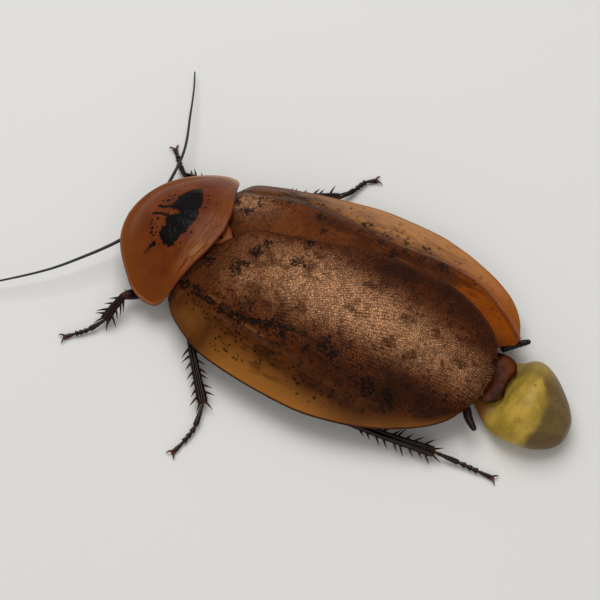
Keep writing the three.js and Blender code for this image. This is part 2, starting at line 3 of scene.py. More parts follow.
import bmesh
import bpy
import numpy as np
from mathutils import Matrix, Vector


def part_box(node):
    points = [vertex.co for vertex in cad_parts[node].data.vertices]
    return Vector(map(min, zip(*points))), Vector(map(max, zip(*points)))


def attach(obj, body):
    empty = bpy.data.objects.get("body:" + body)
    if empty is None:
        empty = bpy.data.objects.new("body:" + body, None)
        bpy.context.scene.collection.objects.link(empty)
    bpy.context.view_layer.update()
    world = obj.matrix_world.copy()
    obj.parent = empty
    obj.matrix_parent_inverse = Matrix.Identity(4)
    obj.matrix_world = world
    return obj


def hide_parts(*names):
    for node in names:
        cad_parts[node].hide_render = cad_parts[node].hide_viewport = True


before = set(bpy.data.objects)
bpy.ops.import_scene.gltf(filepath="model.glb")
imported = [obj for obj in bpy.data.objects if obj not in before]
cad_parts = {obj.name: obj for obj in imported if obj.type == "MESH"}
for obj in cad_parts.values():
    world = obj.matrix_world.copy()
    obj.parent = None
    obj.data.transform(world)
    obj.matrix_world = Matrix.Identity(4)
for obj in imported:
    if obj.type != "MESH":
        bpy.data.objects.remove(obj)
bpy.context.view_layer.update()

bl_info = {
    "name": "Giant peppered cockroach",
    "version": (1, 0, 0),
    "blender": (4, 5, 0),
    "location": "View3D > Sidebar > Cockroach",
    "description": "Builds the shells, wings, legs and looks of a giant peppered cockroach",
    "category": "Add Mesh",
}

FINE = 1.0
RANDOM = np.random.default_rng(7)

# All shapes below are in body millimetres: head towards -Y, left side +X, floor at z = 0.
# The shift between them and the frame comes from the chest, which is centred on x = 0, and the shield.
SHIELD_FRONT = -13.3
CHEST_LOW, CHEST_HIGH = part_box("thorax")
SHIFT = np.array([
    (CHEST_LOW.x + CHEST_HIGH.x) / 2 * 1000.0,
    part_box("pronotum")[0].y * 1000.0 - SHIELD_FRONT,
    0.0,
])

# Outlines from above and heights, the same tables that the solids use.
SHIELD_HALF = [
    (0, -12.6), (2.4, -12.3), (5.2, -11.3), (7.8, -9.5), (10.8, -6.6), (13.2, -3.8), (14.3, -1.7),
    (14.2, -0.1), (13.0, 1.0), (10.5, 2.1), (7.5, 3.4), (4, 4.8), (0, 5.5),
]
LEFT_OUTER = [
    (12.3, 0.9), (14.8, 3.1), (17.2, 6.8), (19.2, 11.4), (20.3, 18.0), (20.8, 24.5), (20.8, 31.0),
    (19.7, 37.2), (18.1, 42.4), (15.9, 46.9), (13.7, 50.3), (11.0, 53.2), (7.6, 55.4), (4.0, 56.6),
]
LEFT_INNER = [
    (2.2, 2.0), (2.0, 4.6), (0.6, 6.9), (-2.4, 9.6), (-4.0, 15.6), (-5.4, 21.6), (-7.7, 28.0),
    (-9.0, 34.3), (-9.7, 39.2), (-10.2, 44.1), (-9.4, 47.9), (-7.9, 51.6), (-5.9, 54.4), (-2.8, 56.4),
]
RIGHT_OUTER = [
    (-12.5, 0.8), (-15.0, 2.8), (-16.5, 6.4), (-18.3, 12.4), (-19.9, 19), (-21.2, 25.5), (-21.5, 31.5),
    (-21.4, 37), (-20.4, 42.4), (-18.9, 47.2), (-17.2, 51), (-15.2, 53.9), (-12.8, 56), (-10.0, 57.4),
]
RIGHT_INNER = [
    (-2.2, 2.0), (-2.0, 4.6), (-0.6, 6.9), (2.2, 9.6), (3.6, 15.6), (4.4, 21.6), (4.6, 28.0),
    (4.2, 34.3), (3.4, 39.2), (2.0, 44.1), (0.4, 47.9), (-1.8, 51.6), (-4.0, 54.5), (-6.8, 57.2),
]
SHIELD_PROFILE = [
    (-14, 0.1), (-12, 0.24), (-10, 0.44), (-8, 0.6), (-4, 0.85), (0, 0.98), (5.4, 1.0), (9, 1.0),
]
SHIELD_WIDTH = [(-14, 8.5), (-12, 9.5), (-8, 12), (-4, 13.6), (-1, 14.3), (9, 14.3)]
SHIELD_REAR = [(0, 5.5), (4, 4.8), (7.5, 3.4), (10.5, 2.1), (13.0, 1.0), (14.2, -0.1)]
BACK_MIDDLE = [
    (0, 9.8), (5.4, 11.3), (8, 12.3), (12, 13.2), (17, 13.8), (25, 14.2), (34, 13.6), (42, 12.0),
    (50, 10.0), (55, 8.4), (60, 7.0),
]
BACK_EDGE = [(0, 4.2), (6, 4.6), (12, 4.8), (40, 4.8), (50, 5.0), (60, 5.4)]
TRUNK_HALF = [
    (0, 7.2), (4, 8.6), (10, 11), (17, 14.0), (24, 15.8), (32, 16.2), (40, 14.8), (46, 12.2),
    (51, 9.2), (54.6, 6.4),
]
BELLY_HEIGHT = [(0, 4.6), (10, 4.4), (17, 4.0), (24, 3.2), (32, 3.0), (42, 2.9), (50, 2.6), (54.6, 2.3)]
# From the tops of the covers down to the top of the belly.
BODY_CLEARANCE = 2.6
# What the camera and the lights aim at.
ANIMAL_MIDDLE = (1.8, 21.1, 5.0)
# What lies between the top of the shield and the top of the covers below it.
SHIELD_SOLID, SKIN_GAP, COVER_SOLID, COVER_PLAY = 0.7, 0.3, 0.5, 0.25

# The outline of the shield's blotch, then spots and marks as (x, y, radius).
BLOTCH = [
    (-6.0, -3.8), (-6.5, -2.7), (-5.3, -1.6), (-3.5, -0.8), (-2.2, -0.6), (-1.1, -0.2), (0.5, 0.0),
    (1.7, -0.4),
    (2.9, -0.4), (3.9, -1.1), (4.9, -1.3), (5.8, -1.3), (6.3, -2.1), (6.1, -3.1), (5.3, -4.2), (4.3, -5.0),
    (3.5, -5.1), (3.0, -4.6), (2.0, -5.1), (1.3, -5.3), (0.8, -4.6), (0.1, -3.6), (-0.5, -3.6),
    (-0.6, -4.4),
    (-0.5, -5.3), (-0.9, -5.9), (-2.2, -5.4), (-3.5, -5.4), (-4.9, -4.7),
]
SHIELD_SPOTS = [
    (-2.0, -6.9, 0.32), (-1.8, -7.7, 0.26), (-3.1, -7.2, 0.24), (-3.5, -6.5, 0.24), (-2.6, -6.3, 0.2),
    (2.0, -6.6, 0.34), (2.5, -7.5, 0.26), (3.2, -7.4, 0.22), (3.9, -6.6, 0.3), (3.6, -6.0, 0.24),
    (4.7, -6.4, 0.26),
    (5.1, -5.7, 0.2), (6.4, -4.9, 0.5), (6.9, -5.3, 0.36), (-6.2, -6.0, 0.16), (-5.4, -0.8, 0.2),
    (-3.9, 0.1, 0.26),
    (-4.5, -0.2, 0.22), (-2.7, 0.3, 0.24), (2.8, 0.5, 0.2), (5.1, -0.4, 0.18), (3.1, -6.6, 0.18),
    (4.5, -5.5, 0.2),
]
LEFT_MARKS = [
    (5.6, 5.4, 1.2), (5.2, 10.8, 1.5), (3.9, 11.8, 0.9), (1.1, 12.2, 1.3), (-1.2, 13.2, 1.0),
    (-4.2, 19.6, 0.9),
    (0.4, 19.4, 0.9), (0.0, 21.0, 0.6), (10.2, 3.4, 0.8), (10.6, 5.4, 0.7), (11.4, 8.2, 0.6),
    (12.2, 11.9, 0.9),
    (12.5, 13.6, 0.6), (12.7, 15.4, 0.7), (12.2, 18.6, 0.7), (11.6, 21.3, 1.3), (12.2, 23.2, 0.8),
    (10.9, 30.6, 1.5),
    (11.6, 32.4, 1.1), (12.6, 28.2, 0.7), (13.3, 39.8, 1.5), (12.9, 43.6, 1.2), (-1.9, 56.5, 0.8),
    (0.5, 57.6, 0.6),
    (9.2, 11.2, 0.4), (8.4, 9.2, 0.35),
]
RIGHT_MARKS = [
    (-8.6, 3.2, 0.9), (-6.8, 6.0, 1.2), (-8.8, 7.4, 0.9), (-8.4, 20.4, 0.9), (-10.0, 32.5, 1.2),
    (-11.4, 29.6, 1.0),
    (-12.2, 33.9, 0.8), (-11.2, 18.1, 0.9), (-12.1, 11.6, 0.8), (-13.6, 14.4, 0.7), (-14.3, 25.1, 0.8),
    (-13.0, 27.4, 0.7), (-15.6, 36.4, 0.9), (-14.6, 33.0, 0.7), (-13.4, 40.8, 1.0), (-12.6, 37.0, 0.9),
]

# Lines on the wing covers, with x away from the middle on both sides.
LEFT_FOLD = [
    (0, 10.0), (6, 10.6), (12, 12.0), (17, 12.4), (24, 12.9), (32, 13.4), (40, 13.8), (46, 13.2),
    (51, 11.6), (55, 8.6), (60, 5.5),
]
RIGHT_FOLD = [
    (0, 10.0), (6, 11.5), (12, 13.4), (25, 12.9), (33, 13.0), (40.6, 14.6), (47.7, 14.5), (52.2, 12.5),
    (60, 8),
]
WING_ARC = [
    (10.4, 5.6), (10.9, 8.6), (10.9, 12.6), (9.6, 15.4), (8.0, 17.0), (5.6, 18.5), (2.8, 19.2),
    (-0.6, 19.8), (-4.4, 20.0),
]
SHOULDER_LOBE = [(11.8, 5.9), (12.8, 8.2), (14.2, 10.2), (16.2, 11.2), (17.8, 10.8)]
LONG_LINE = [
    (9.9, 1.8), (10.5, 5.0), (11.6, 9.5), (12.3, 13.2), (12.4, 16.5), (11.7, 20.6), (11.2, 23.0),
    (10.7, 27.7), (11.4, 32.0),
]
SLANTING_LINE = [(0.7, 17.6), (0.3, 19.3), (-1.5, 20.6), (-3.0, 21.4)]
PALE_STREAK = [(10.9, 8.4), (12.0, 11.8), (13.0, 15.8), (13.6, 20.5)]
SPECK_PATCHES = [
    (16.3, 14.6, 0.9), (15.6, 19.8, 1.0), (16.8, 21.6, 1.1), (13.6, 8.8, 0.8), (15.2, 12.6, 0.8),
    (14.6, 25.6, 1.1), (15.8, 30.5, 1.2),
]
# How far the tan, with its painted sheen, reaches across and how strong it is along the cover, and how far
# the gold reaches in.
TAN_AND_SHEEN_ACROSS = [(8, 6.0), (14, 5.4), (24, 5.6), (31, 5.3), (40, 4.8), (48, 4.1), (58, 3.4)]
TAN_AND_SHEEN_ALONG = [
    (6, 0.1), (11, 0.22), (15, 0.55), (20, 0.95), (28, 1), (42, 1), (48, 0.85), (55, 0.6), (58, 0.35),
]
GOLD_REACH = [(0, 6.0), (22, 6.0), (32, 4.2), (40, 2.8), (60, 2.2)]
VEINS_PER_RADIAN = 13.0
SHIN_WIDTH = [(0, 0.5), (0.08, 0.66), (0.3, 0.7), (0.7, 0.82), (0.92, 0.95), (1, 0.85)]
SHIN_DEPTH = [(0, 0.55), (0.3, 0.6), (0.8, 0.66), (1, 0.62)]

# The legs, as joint points from hip to claw, and the number of shin spines.
LEGS = {
    "front_left": (
        [(4.0, -1.6, 3.1), (7.0, -1.2, 2.5)],
        [(7.4, -1.3, 2.4), (10.8, -3.4, 2.3), (12.9, -4.9, 2.7), (14.7, -6.2, 3.9)],
        [(15.0, -6.5, 3.6), (17.2, -7.1, 2.7), (19.7, -7.6, 1.5)],
        [(20.0, -7.8, 1.25), (22.4, -9.4, 0.85), (24.2, -11.2, 0.6), (25.3, -12.3, 0.45)], 8),
    "front_right": (
        [(-4.0, -1.6, 3.1), (-6.4, 0.2, 2.5)],
        [(-6.7, 0.3, 2.4), (-9.4, -1.2, 2.3), (-11.0, -2.6, 2.3), (-12.3, -4.0, 2.5)],
        [(-12.4, -4.4, 2.4), (-12.3, -7.2, 2.0), (-12.1, -9.7, 1.4)],
        [(-12.2, -10.0, 1.2), (-14.0, -11.8, 0.85), (-15.6, -13.3, 0.6), (-16.8, -14.5, 0.45)], 8),
    "middle_left": (
        [(3.8, 6.0, 2.9), (6.6, 10.0, 2.4)],
        [(6.9, 10.1, 2.3), (10.5, 8.8, 2.2), (13.2, 7.6, 2.5), (15.4, 6.9, 3.4)],
        [(15.8, 7.1, 3.2), (20.6, 11.0, 2.4), (25.6, 15.3, 1.5)],
        [(26.0, 15.6, 1.25), (29.9, 16.0, 0.9), (32.9, 15.6, 0.6), (35.3, 15.0, 0.45)], 14),
    "middle_right": (
        [(-3.8, 6.0, 2.9), (-6.2, 10.0, 2.4)],
        [(-6.5, 10.1, 2.3), (-9.6, 8.2, 2.2), (-12.2, 6.6, 2.5), (-14.3, 5.7, 3.3)],
        [(-14.7, 6.0, 3.2), (-17.9, 11.0, 2.4), (-21.5, 16.8, 1.5)],
        [(-21.8, 17.2, 1.25), (-24.3, 18.0, 0.95), (-26.8, 18.9, 0.7), (-28.2, 20.4, 0.45)], 14),
    "hind_left": (
        [(3.9, 15.0, 2.6), (8.0, 23.6, 2.1)],
        [(8.3, 23.9, 2.0), (12.2, 29.6, 1.9), (15.6, 34.8, 2.2), (17.6, 37.8, 3.5)],
        [(17.8, 38.3, 3.4), (16.6, 45.6, 2.6), (14.9, 54.0, 1.5)],
        [(14.8, 54.5, 1.25), (14.4, 58.6, 0.85), (14.2, 61.8, 0.6), (14.1, 64.2, 0.45)], 18),
    "hind_right": (
        [(-3.9, 15.0, 2.6), (-7.6, 22.6, 2.1)],
        [(-7.9, 22.8, 2.0), (-12.0, 26.2, 1.9), (-15.4, 29.4, 2.2), (-17.6, 31.6, 3.3)],
        [(-17.8, 32.1, 3.2), (-17.0, 39.0, 2.5), (-15.6, 46.6, 1.5)],
        [(-15.4, 47.0, 1.25), (-14.2, 49.6, 0.85), (-13.0, 51.6, 0.6), (-12.1, 53.4, 0.45)], 18),
}


# ---- Numbers and curves ----
def look_up(table, at):
    """A smooth curve through the table's points, for one value or an array."""
    xs = np.array([p[0] for p in table], float)
    ys = np.array([p[1] for p in table], float)
    slopes = np.empty_like(ys)
    slopes[1:-1] = (ys[2:] - ys[:-2]) / (xs[2:] - xs[:-2])
    slopes[0] = (ys[1] - ys[0]) / (xs[1] - xs[0])
    slopes[-1] = (ys[-1] - ys[-2]) / (xs[-1] - xs[-2])
    at = np.clip(np.asarray(at, float), xs[0], xs[-1])
    i = np.clip(np.searchsorted(xs, at, side="right") - 1, 0, len(xs) - 2)
    step = xs[i + 1] - xs[i]
    t = (at - xs[i]) / step
    return (
        (2 * t**3 - 3 * t**2 + 1) * ys[i] + (t**3 - 2 * t**2 + t) * step * slopes[i]
        + (3 * t**2 - 2 * t**3) * ys[i + 1] + (t**3 - t**2) * step * slopes[i + 1]
    )


def smooth_path(points, count):
    """count points evenly spaced in the curve's own parameter, through the given ones."""
    points = np.array(points, float)
    chord = np.sqrt(np.linalg.norm(np.diff(points, axis=0), axis=1))
    knots = np.concatenate([[0], np.cumsum(chord)])
    even = np.interp(np.linspace(0, len(points) - 1, count), np.arange(len(points)), knots)
    columns = [look_up(list(zip(knots, points[:, c])), even) for c in range(points.shape[1])]
    return np.stack(columns, axis=1)


def evenly(points, count):
    """Like smooth_path, with equal lengths between the points."""
    dense = smooth_path(points, 400)
    length = np.concatenate([[0], np.cumsum(np.linalg.norm(np.diff(dense, axis=0), axis=1))])
    want = np.linspace(0, length[-1], count)
    return np.stack([np.interp(want, length, dense[:, c]) for c in range(dense.shape[1])], axis=1)


def in_mm(setting):
    """A size setting in millimetres, without the noise of its last digits."""
    return round(setting * 1000.0, 5)


def bump_at(x, centre, width):
    """1 at the centre, falling to 0 on both sides."""
    return np.exp(-(((x - centre) / width) ** 2))


def hill(x, y, centre_x, centre_y, reach_x, reach_y):
    """1 at the centre, falling to 0 around it."""
    return np.exp(-(((x - centre_x) / reach_x) ** 2) - (((y - centre_y) / reach_y) ** 2))


def ramp(x, low, high):
    """0 below low, 1 above high, smooth between them."""
    t = np.clip((x - low) / (high - low), 0, 1)
    return t * t * (3 - 2 * t)


def value_noise(x, y, seed=0):
    """Smooth noise from 0 to 1, one cell for each unit of x and y."""
    xi, yi = np.floor(x).astype(int), np.floor(y).astype(int)
    fx, fy = x - xi, y - yi
    fx, fy = fx * fx * (3 - 2 * fx), fy * fy * (3 - 2 * fy)

    def corner(a, b):
        h = np.sin((a * 127.1 + b * 311.7 + seed * 74.7) % 1000.0) * 43758.5453
        return h - np.floor(h)

    low = corner(xi, yi) * (1 - fx) + corner(xi + 1, yi) * fx
    high = corner(xi, yi + 1) * (1 - fx) + corner(xi + 1, yi + 1) * fx
    return low * (1 - fy) + high * fy


def layered_noise(x, y, seed=0, layers=3):
    """Noise from 0 to 1 with finer layers on the coarse one."""
    total, weight, size = 0.0, 0.0, 1.0
    for k in range(layers):
        total = total + size * value_noise(x * 2**k, y * 2**k, seed + k * 13)
        weight += size
        size *= 0.55
    return total / weight


def polygon_distance(x, y, corners):
    """Distance to the outline, negative inside."""
    best = np.full(x.shape, 1e9)
    inside = np.zeros(x.shape, bool)
    for k, (x0, y0) in enumerate(corners):
        x1, y1 = corners[(k + 1) % len(corners)]
        dx, dy = x1 - x0, y1 - y0
        t = np.clip(((x - x0) * dx + (y - y0) * dy) / (dx * dx + dy * dy), 0, 1)
        best = np.minimum(best, np.hypot(x - x0 - t * dx, y - y0 - t * dy))
        crosses = ((y0 > y) != (y1 > y)) & (x < dx * (y - y0) / (dy if dy else 1e-9) + x0)
        inside ^= crosses
    return np.where(inside, -best, best)


def line_distance(x, y, points):
    """Distance to a broken line."""
    best = np.full(x.shape, 1e9)
    for (x0, y0), (x1, y1) in zip(points[:-1], points[1:]):
        dx, dy = x1 - x0, y1 - y0
        t = np.clip(((x - x0) * dx + (y - y0) * dy) / (dx * dx + dy * dy), 0, 1)
        best = np.minimum(best, np.hypot(x - x0 - t * dx, y - y0 - t * dy))
    return best


def spots(x, y, marks, ragged=0.35, soft=0.25, seed=5):
    """1 inside the marks with ragged edges, 0 outside."""
    rough = (layered_noise(x * 1.6, y * 1.6, seed) - 0.5) * 2 * ragged
    best = np.zeros(x.shape)
    for mx, my, size in marks:
        reach = np.hypot(x - mx, y - my) / size + rough
        best = np.maximum(best, 1 - ramp(reach, 1 - soft, 1 + soft))
    return best


# ---- Heights of the arched upper surfaces ----
def shield_height(x, y):
    """The arched top of the shield."""
    share = np.minimum(1.0, np.abs(x) / look_up(SHIELD_WIDTH, y))
    return 4.7 + 8.5 * (1 - share**2.2) * look_up(SHIELD_PROFILE, y)


def back_height(x, y):
    """The arched back of the wing covers, pressed down where it runs under the shield."""
    left = look_up([(p[1], abs(p[0])) for p in LEFT_OUTER], y)
    right = look_up([(p[1], abs(p[0])) for p in RIGHT_OUTER], y)
    width = np.where(x >= 0, left, right)
    edge = look_up(BACK_EDGE, y)
    share = np.minimum(1.1, np.abs(x) / width)
    height = edge + (look_up(BACK_MIDDLE, y) - edge) * (1 - share**2.4)
    under = shield_height(x, y) - SHIELD_SOLID - SKIN_GAP - COVER_SOLID - COVER_PLAY
    near = y <= look_up(SHIELD_REAR, np.abs(x)) + 0.8
    return np.where(near, np.minimum(height, under), height)


# ---- Meshes ----
class Build:
    """Collects points, faces and one number or more for each point, then makes one object."""

    def __init__(self):
        self.points, self.faces, self.marks, self.count = [], [], {}, 0

    def add(self, points, faces, **marks):
        """Adds one closed shape. A mark that it doesn't give is 0 on it."""
        points = np.asarray(points, float).reshape(-1, 3)
        for name in {**self.marks, **marks}:
            have = self.marks.setdefault(name, [np.zeros(self.count)] if self.count else [])
            value = np.asarray(marks.get(name, 0.0), float)
            have.append(np.broadcast_to(value.reshape(-1) if value.ndim else value, (len(points),)))
        self.points.append(points)
        self.faces.extend([[i + self.count for i in face] for face in faces])
        self.count += len(points)

    def make(self, name, material, replaced):
        """Makes the object in metres, on the body and in place of its nodes, with the given material."""
        if not self.points:
            raise RuntimeError(f"{name} has no points")
        mesh = bpy.data.meshes.new(name)
        points = (np.concatenate(self.points) + SHIFT) * 0.001
        mesh.from_pydata(points.tolist(), [], self.faces)
        for key, values in self.marks.items():
            layer = mesh.attributes.new(key, "FLOAT", "POINT")
            layer.data.foreach_set("value", np.concatenate(values).astype(np.float32))
        mesh.update()
        mesh.polygons.foreach_set("use_smooth", [True] * len(mesh.polygons))
        turn_outward(mesh)
        mesh.materials.append(material)
        obj = bpy.data.objects.new(name, mesh)
        bpy.context.scene.collection.objects.link(obj)
        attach(obj, "root")
        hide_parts(*replaced)


def turn_outward(mesh):
    """Turns every face's normal away from the solid."""
    work = bmesh.new()
    work.from_mesh(mesh)
    bmesh.ops.recalc_face_normals(work, faces=work.faces)
    work.to_mesh(mesh)
    work.free()


def grid_faces(rows, columns, start=0, wrap=False, flip=False):
    """Four-cornered faces between the points of a grid."""
    faces = []
    last = columns if wrap else columns - 1
    for k in range(rows - 1):
        for i in range(last):
            a = start + k * columns + i
            b = start + k * columns + (i + 1) % columns
            face = [a, b, b + columns, a + columns]
            faces.append(face[::-1] if flip else face)
    return faces


def ring_angles(sides):
    """The angle of each corner of a ring, in radians."""
    return 2 * np.pi * (np.arange(sides) + 0.5) / sides


def closed_faces(rings, sides):
    """Faces of a stack of rings, with a fan to one more point at each end."""
    faces = grid_faces(rings, sides, wrap=True)
    last = (rings - 1) * sides
    for i in range(sides):
        after = (i + 1) % sides
        faces.append([after, i, rings * sides])
        faces.append([last + i, last + after, rings * sides + 1])
    return faces


def grid_normals(grid):
    """The upward normal at each point of a grid."""
    down = np.gradient(grid, axis=0)
    across = np.gradient(grid, axis=1)
    normal = np.cross(across, down)
    normal /= np.maximum(1e-9, np.linalg.norm(normal, axis=2, keepdims=True))
    return np.where(normal[..., 2:3] < 0, -normal, normal)


def add_sheet(build, grid, thickness, **marks):
    """A closed sheet: the grid on top, the same grid pushed in below, and a border between them."""
    rows, columns = grid.shape[:2]
    under = grid - grid_normals(grid) * thickness
    half = rows * columns
    faces = grid_faces(rows, columns) + grid_faces(rows, columns, half, flip=True)
    border = list(range(columns - 1))
    border += [k * columns + columns - 1 for k in range(rows - 1)]
    border += [(rows - 1) * columns + i for i in range(columns - 1, 0, -1)]
    border += [k * columns for k in range(rows - 1, 0, -1)]
    for a, b in zip(border, border[1:] + border[:1]):
        faces.append([b, a, half + a, half + b])
    both = {key: np.tile(np.asarray(value).ravel(), 2) for key, value in marks.items()}
    build.add(np.concatenate([grid.reshape(-1, 3), under.reshape(-1, 3)]), faces, **both)


def add_tube(build, stops, sides=12, up_hint=(0, 0, 1), shape=None, **marks):
    """An oval swept along stops of x, y, z, half width, half depth. shape can bend each ring."""
    stops = np.asarray(stops, float)
    heading = np.gradient(stops[:, :3], axis=0)
    heading /= np.linalg.norm(heading, axis=1, keepdims=True)
    side = np.cross(heading, np.asarray(up_hint, float))
    side /= np.linalg.norm(side, axis=1, keepdims=True)
    up = np.cross(side, heading)
    angle = ring_angles(sides)
    across, high = np.cos(angle)[None, :], np.sin(angle)[None, :]
    if shape is not None:
        across, high = shape(across, high, np.linspace(0, 1, len(stops))[:, None])
    rings = (
        stops[:, None, :3]
        + side[:, None, :] * (stops[:, 3:4] * across)[..., None]
        + up[:, None, :] * (stops[:, 4:5] * high)[..., None]
    )
    points = np.concatenate([rings.reshape(-1, 3), stops[:1, :3], stops[-1:, :3]])
    ready = {}
    for key, value in marks.items():
        value = np.asarray(value, float)
        if value.ndim == 1:
            value = np.concatenate([np.repeat(value, sides), value[:1], value[-1:]])
        ready[key] = value
    build.add(points, closed_faces(len(stops), sides), **ready)


def add_rings(build, rings, **marks):
    """Closes a stack of equal rings with a point at each end."""
    rings = np.asarray(rings, float)
    ends = np.stack([rings[0].mean(0), rings[-1].mean(0)])
    ready = {}
    for key, value in marks.items():
        value = np.asarray(value, float)
        if value.ndim:
            value = np.concatenate([value.ravel(), [value[0].mean(), value[-1].mean()]])
        ready[key] = value
    build.add(np.concatenate([rings.reshape(-1, 3), ends]), closed_faces(*rings.shape[:2]), **ready)


def add_spine(build, base, direction, length, thick, bend=(0, 0, 0), sides=6, **marks):
    """A tapering thorn that bends a little."""
    t = np.linspace(0, 1, 5)
    direction = np.asarray(direction, float)
    direction = direction / np.linalg.norm(direction)
    path = np.asarray(base, float) + direction * (t * length)[:, None]
    path = path + np.asarray(bend) * (t**2)[:, None]
    width = thick * (1 - 0.93 * t**1.3)
    hint = (0, 0, 1) if abs(direction[2]) < 0.8 else (1, 0, 0)
    add_tube(build, np.column_stack([path, width, width]), sides, hint, **marks)


# ---- Materials ----
SMOOTH = {"interpolation_type": "SMOOTHSTEP"}
COLOURED = {"data_type": "RGBA"}
TIMES = {"operation": "MULTIPLY"}
TIMES_PLUS = {"operation": "MULTIPLY_ADD"}
MINUS = {"operation": "SUBTRACT"}
LARGER = {"operation": "MAXIMUM"}
# How much finer detail a noise carries.
MIDDLING = {"Detail": 4.0, "Roughness": 0.6}
CRISP = {"Detail": 5.0, "Roughness": 0.6}


def linear(colour):
    """An sRGB hex colour as linear red, green, blue and 1."""
    parts = [int(colour[i:i + 2], 16) / 255 for i in (1, 3, 5)]
    return (*(c / 12.92 if c <= 0.04045 else ((c + 0.055) / 1.055) ** 2.4 for c in parts), 1.0)


class Look:
    """One material, with the point in millimetres and the marks that its meshes carry."""

    def __init__(self, name, marks=(), **numbers):
        self.material = bpy.data.materials.new(name)
        self.material.use_nodes = True
        self.tree = self.material.node_tree
        self.shader = self.tree.nodes["Principled BSDF"]
        self.join(self.shader, {key.replace("_", " "): value for key, value in numbers.items()})
        spot = self.add("TexCoord", {}, (), "Object")
        self.where = self.add("VectorMath", {"operation": "SCALE"}, {0: spot, "Scale": 1000.0})
        self.mark = {n: self.add("Attribute", {"attribute_name": n}, (), "Fac") for n in marks}

    def join(self, made, sockets):
        """Links each socket to an output, or sets the socket's own number or colour."""
        for key, source in sockets.items() if isinstance(sockets, dict) else enumerate(sockets):
            if isinstance(source, bpy.types.NodeSocket):
                self.tree.links.new(source, made.inputs[key])
            else:
                made.inputs[key].default_value = source

    def add(self, kind, settings, sockets=(), out=0):
        """Adds one node with its settings and sockets, by name or in order; gives back one output."""
        made = self.tree.nodes.new("ShaderNode" + kind)
        for key, value in settings.items():
            setattr(made, key, value)
        self.join(made, sockets)
        return made.outputs[out]

    def finish(self, base, coats=(), rough=None, normal=None):
        """Lays the coats of colour over the base in order, each where its share says."""
        for share, tint in coats:
            base = self.add("Mix", COLOURED, {0: share, 6: base, 7: tint}, 2)
        ends = {"Base Color": base, "Roughness": rough, "Normal": normal}
        self.join(self.shader, {key: value for key, value in ends.items() if value is not None})
        return self.material


# Every noise or cell scale below is 1 / size, with the size in millimetres. The sizes were set
# against the photo, and none was measured on an animal.
def shield_chitin():
    # Waxed chitin, one hardened plate: a broad soft gloss over deep orange-brown, an amber glow where the
    # rim is thin, a flat black blotch, and pale scratches along the rear edge with a painted highlight on
    # them.
    c = bpy.context.scene.roach_colours
    look = Look(
        "waxed_shield_chitin",
        ("glow", "disc", "inward", "sideways", "stripe", "rim", "line", "halo", "blotch"),
        IOR=1.42, Specular_IOR_Level=0.14,
    )
    mark, where = look.mark, look.where
    cloud = look.add("TexNoise", {}, {"Vector": where, "Scale": 1 / 3.333, "Detail": 4.0, "Roughness": 0.55})
    fine = look.add("TexNoise", {}, {"Vector": where, "Scale": 1 / 0.3333, **MIDDLING})
    # The scratches are 0.15 mm apart, drawn as coarse as they need to show.
    lanes = look.add("CombineXYZ", {}, (mark["inward"], mark["sideways"]))
    lanes = look.add("VectorMath", TIMES, (lanes, (1 / 0.1538, 1 / 3.333, 1.0)))
    scratch = look.add("TexNoise", {}, {"Vector": lanes, "Scale": 1.0, "Detail": 3.0, "Roughness": 0.6})
    scratch = look.add("MapRange", SMOOTH, (scratch, 0.44, 0.62, 0.0, 0.62))
    halo = look.add("MapRange", SMOOTH, (fine, 0.35, 0.6, 0.2, 0.75))
    gloss = look.add("MapRange", SMOOTH, (fine, 0.3, 0.7, 0.3, 0.44))
    gloss = look.add("Math", TIMES_PLUS, (mark["blotch"], -0.04, gloss))
    squeezed = look.add("VectorMath", TIMES, (where, (1.0, 0.35, 1.0)))
    wrinkle = look.add("TexNoise", {}, {"Vector": squeezed, "Scale": 1 / 0.625, **CRISP})
    pits = look.add("TexNoise", {}, {"Vector": where, "Scale": 1 / 0.1111, "Detail": 3.0})
    normal = look.add("Bump", {}, {"Strength": 0.3, "Distance": 0.00002, "Height": pits})
    normal = look.add("Bump", {}, {"Strength": 0.3, "Distance": 0.00008, "Height": wrinkle, "Normal": normal})
    return look.finish(c.shield_brown, [
        (look.add("MapRange", SMOOTH, (cloud, 0.36, 0.64)), c.shield_orange),
        (look.add("Math", TIMES, (mark["glow"], 0.8)), c.shield_amber),
        (look.add("Math", TIMES, (mark["disc"], 0.22)), c.shield_disc),
        (look.add("MapRange", SMOOTH, (fine, 0.5, 0.75, 0.0, 0.22)), c.shield_blotch),
        # The scratches, with a painted highlight on them that is strongest near x = 5.6.
        (look.add("Math", TIMES, (scratch, mark["stripe"])), c.shield_scratch_sheen),
        (mark["rim"], c.shield_rim),
        (mark["line"], c.shield_line),
        (look.add("Math", TIMES, (mark["halo"], halo)), c.shield_line),
        (mark["blotch"], c.shield_blotch),
    ], gloss, normal)


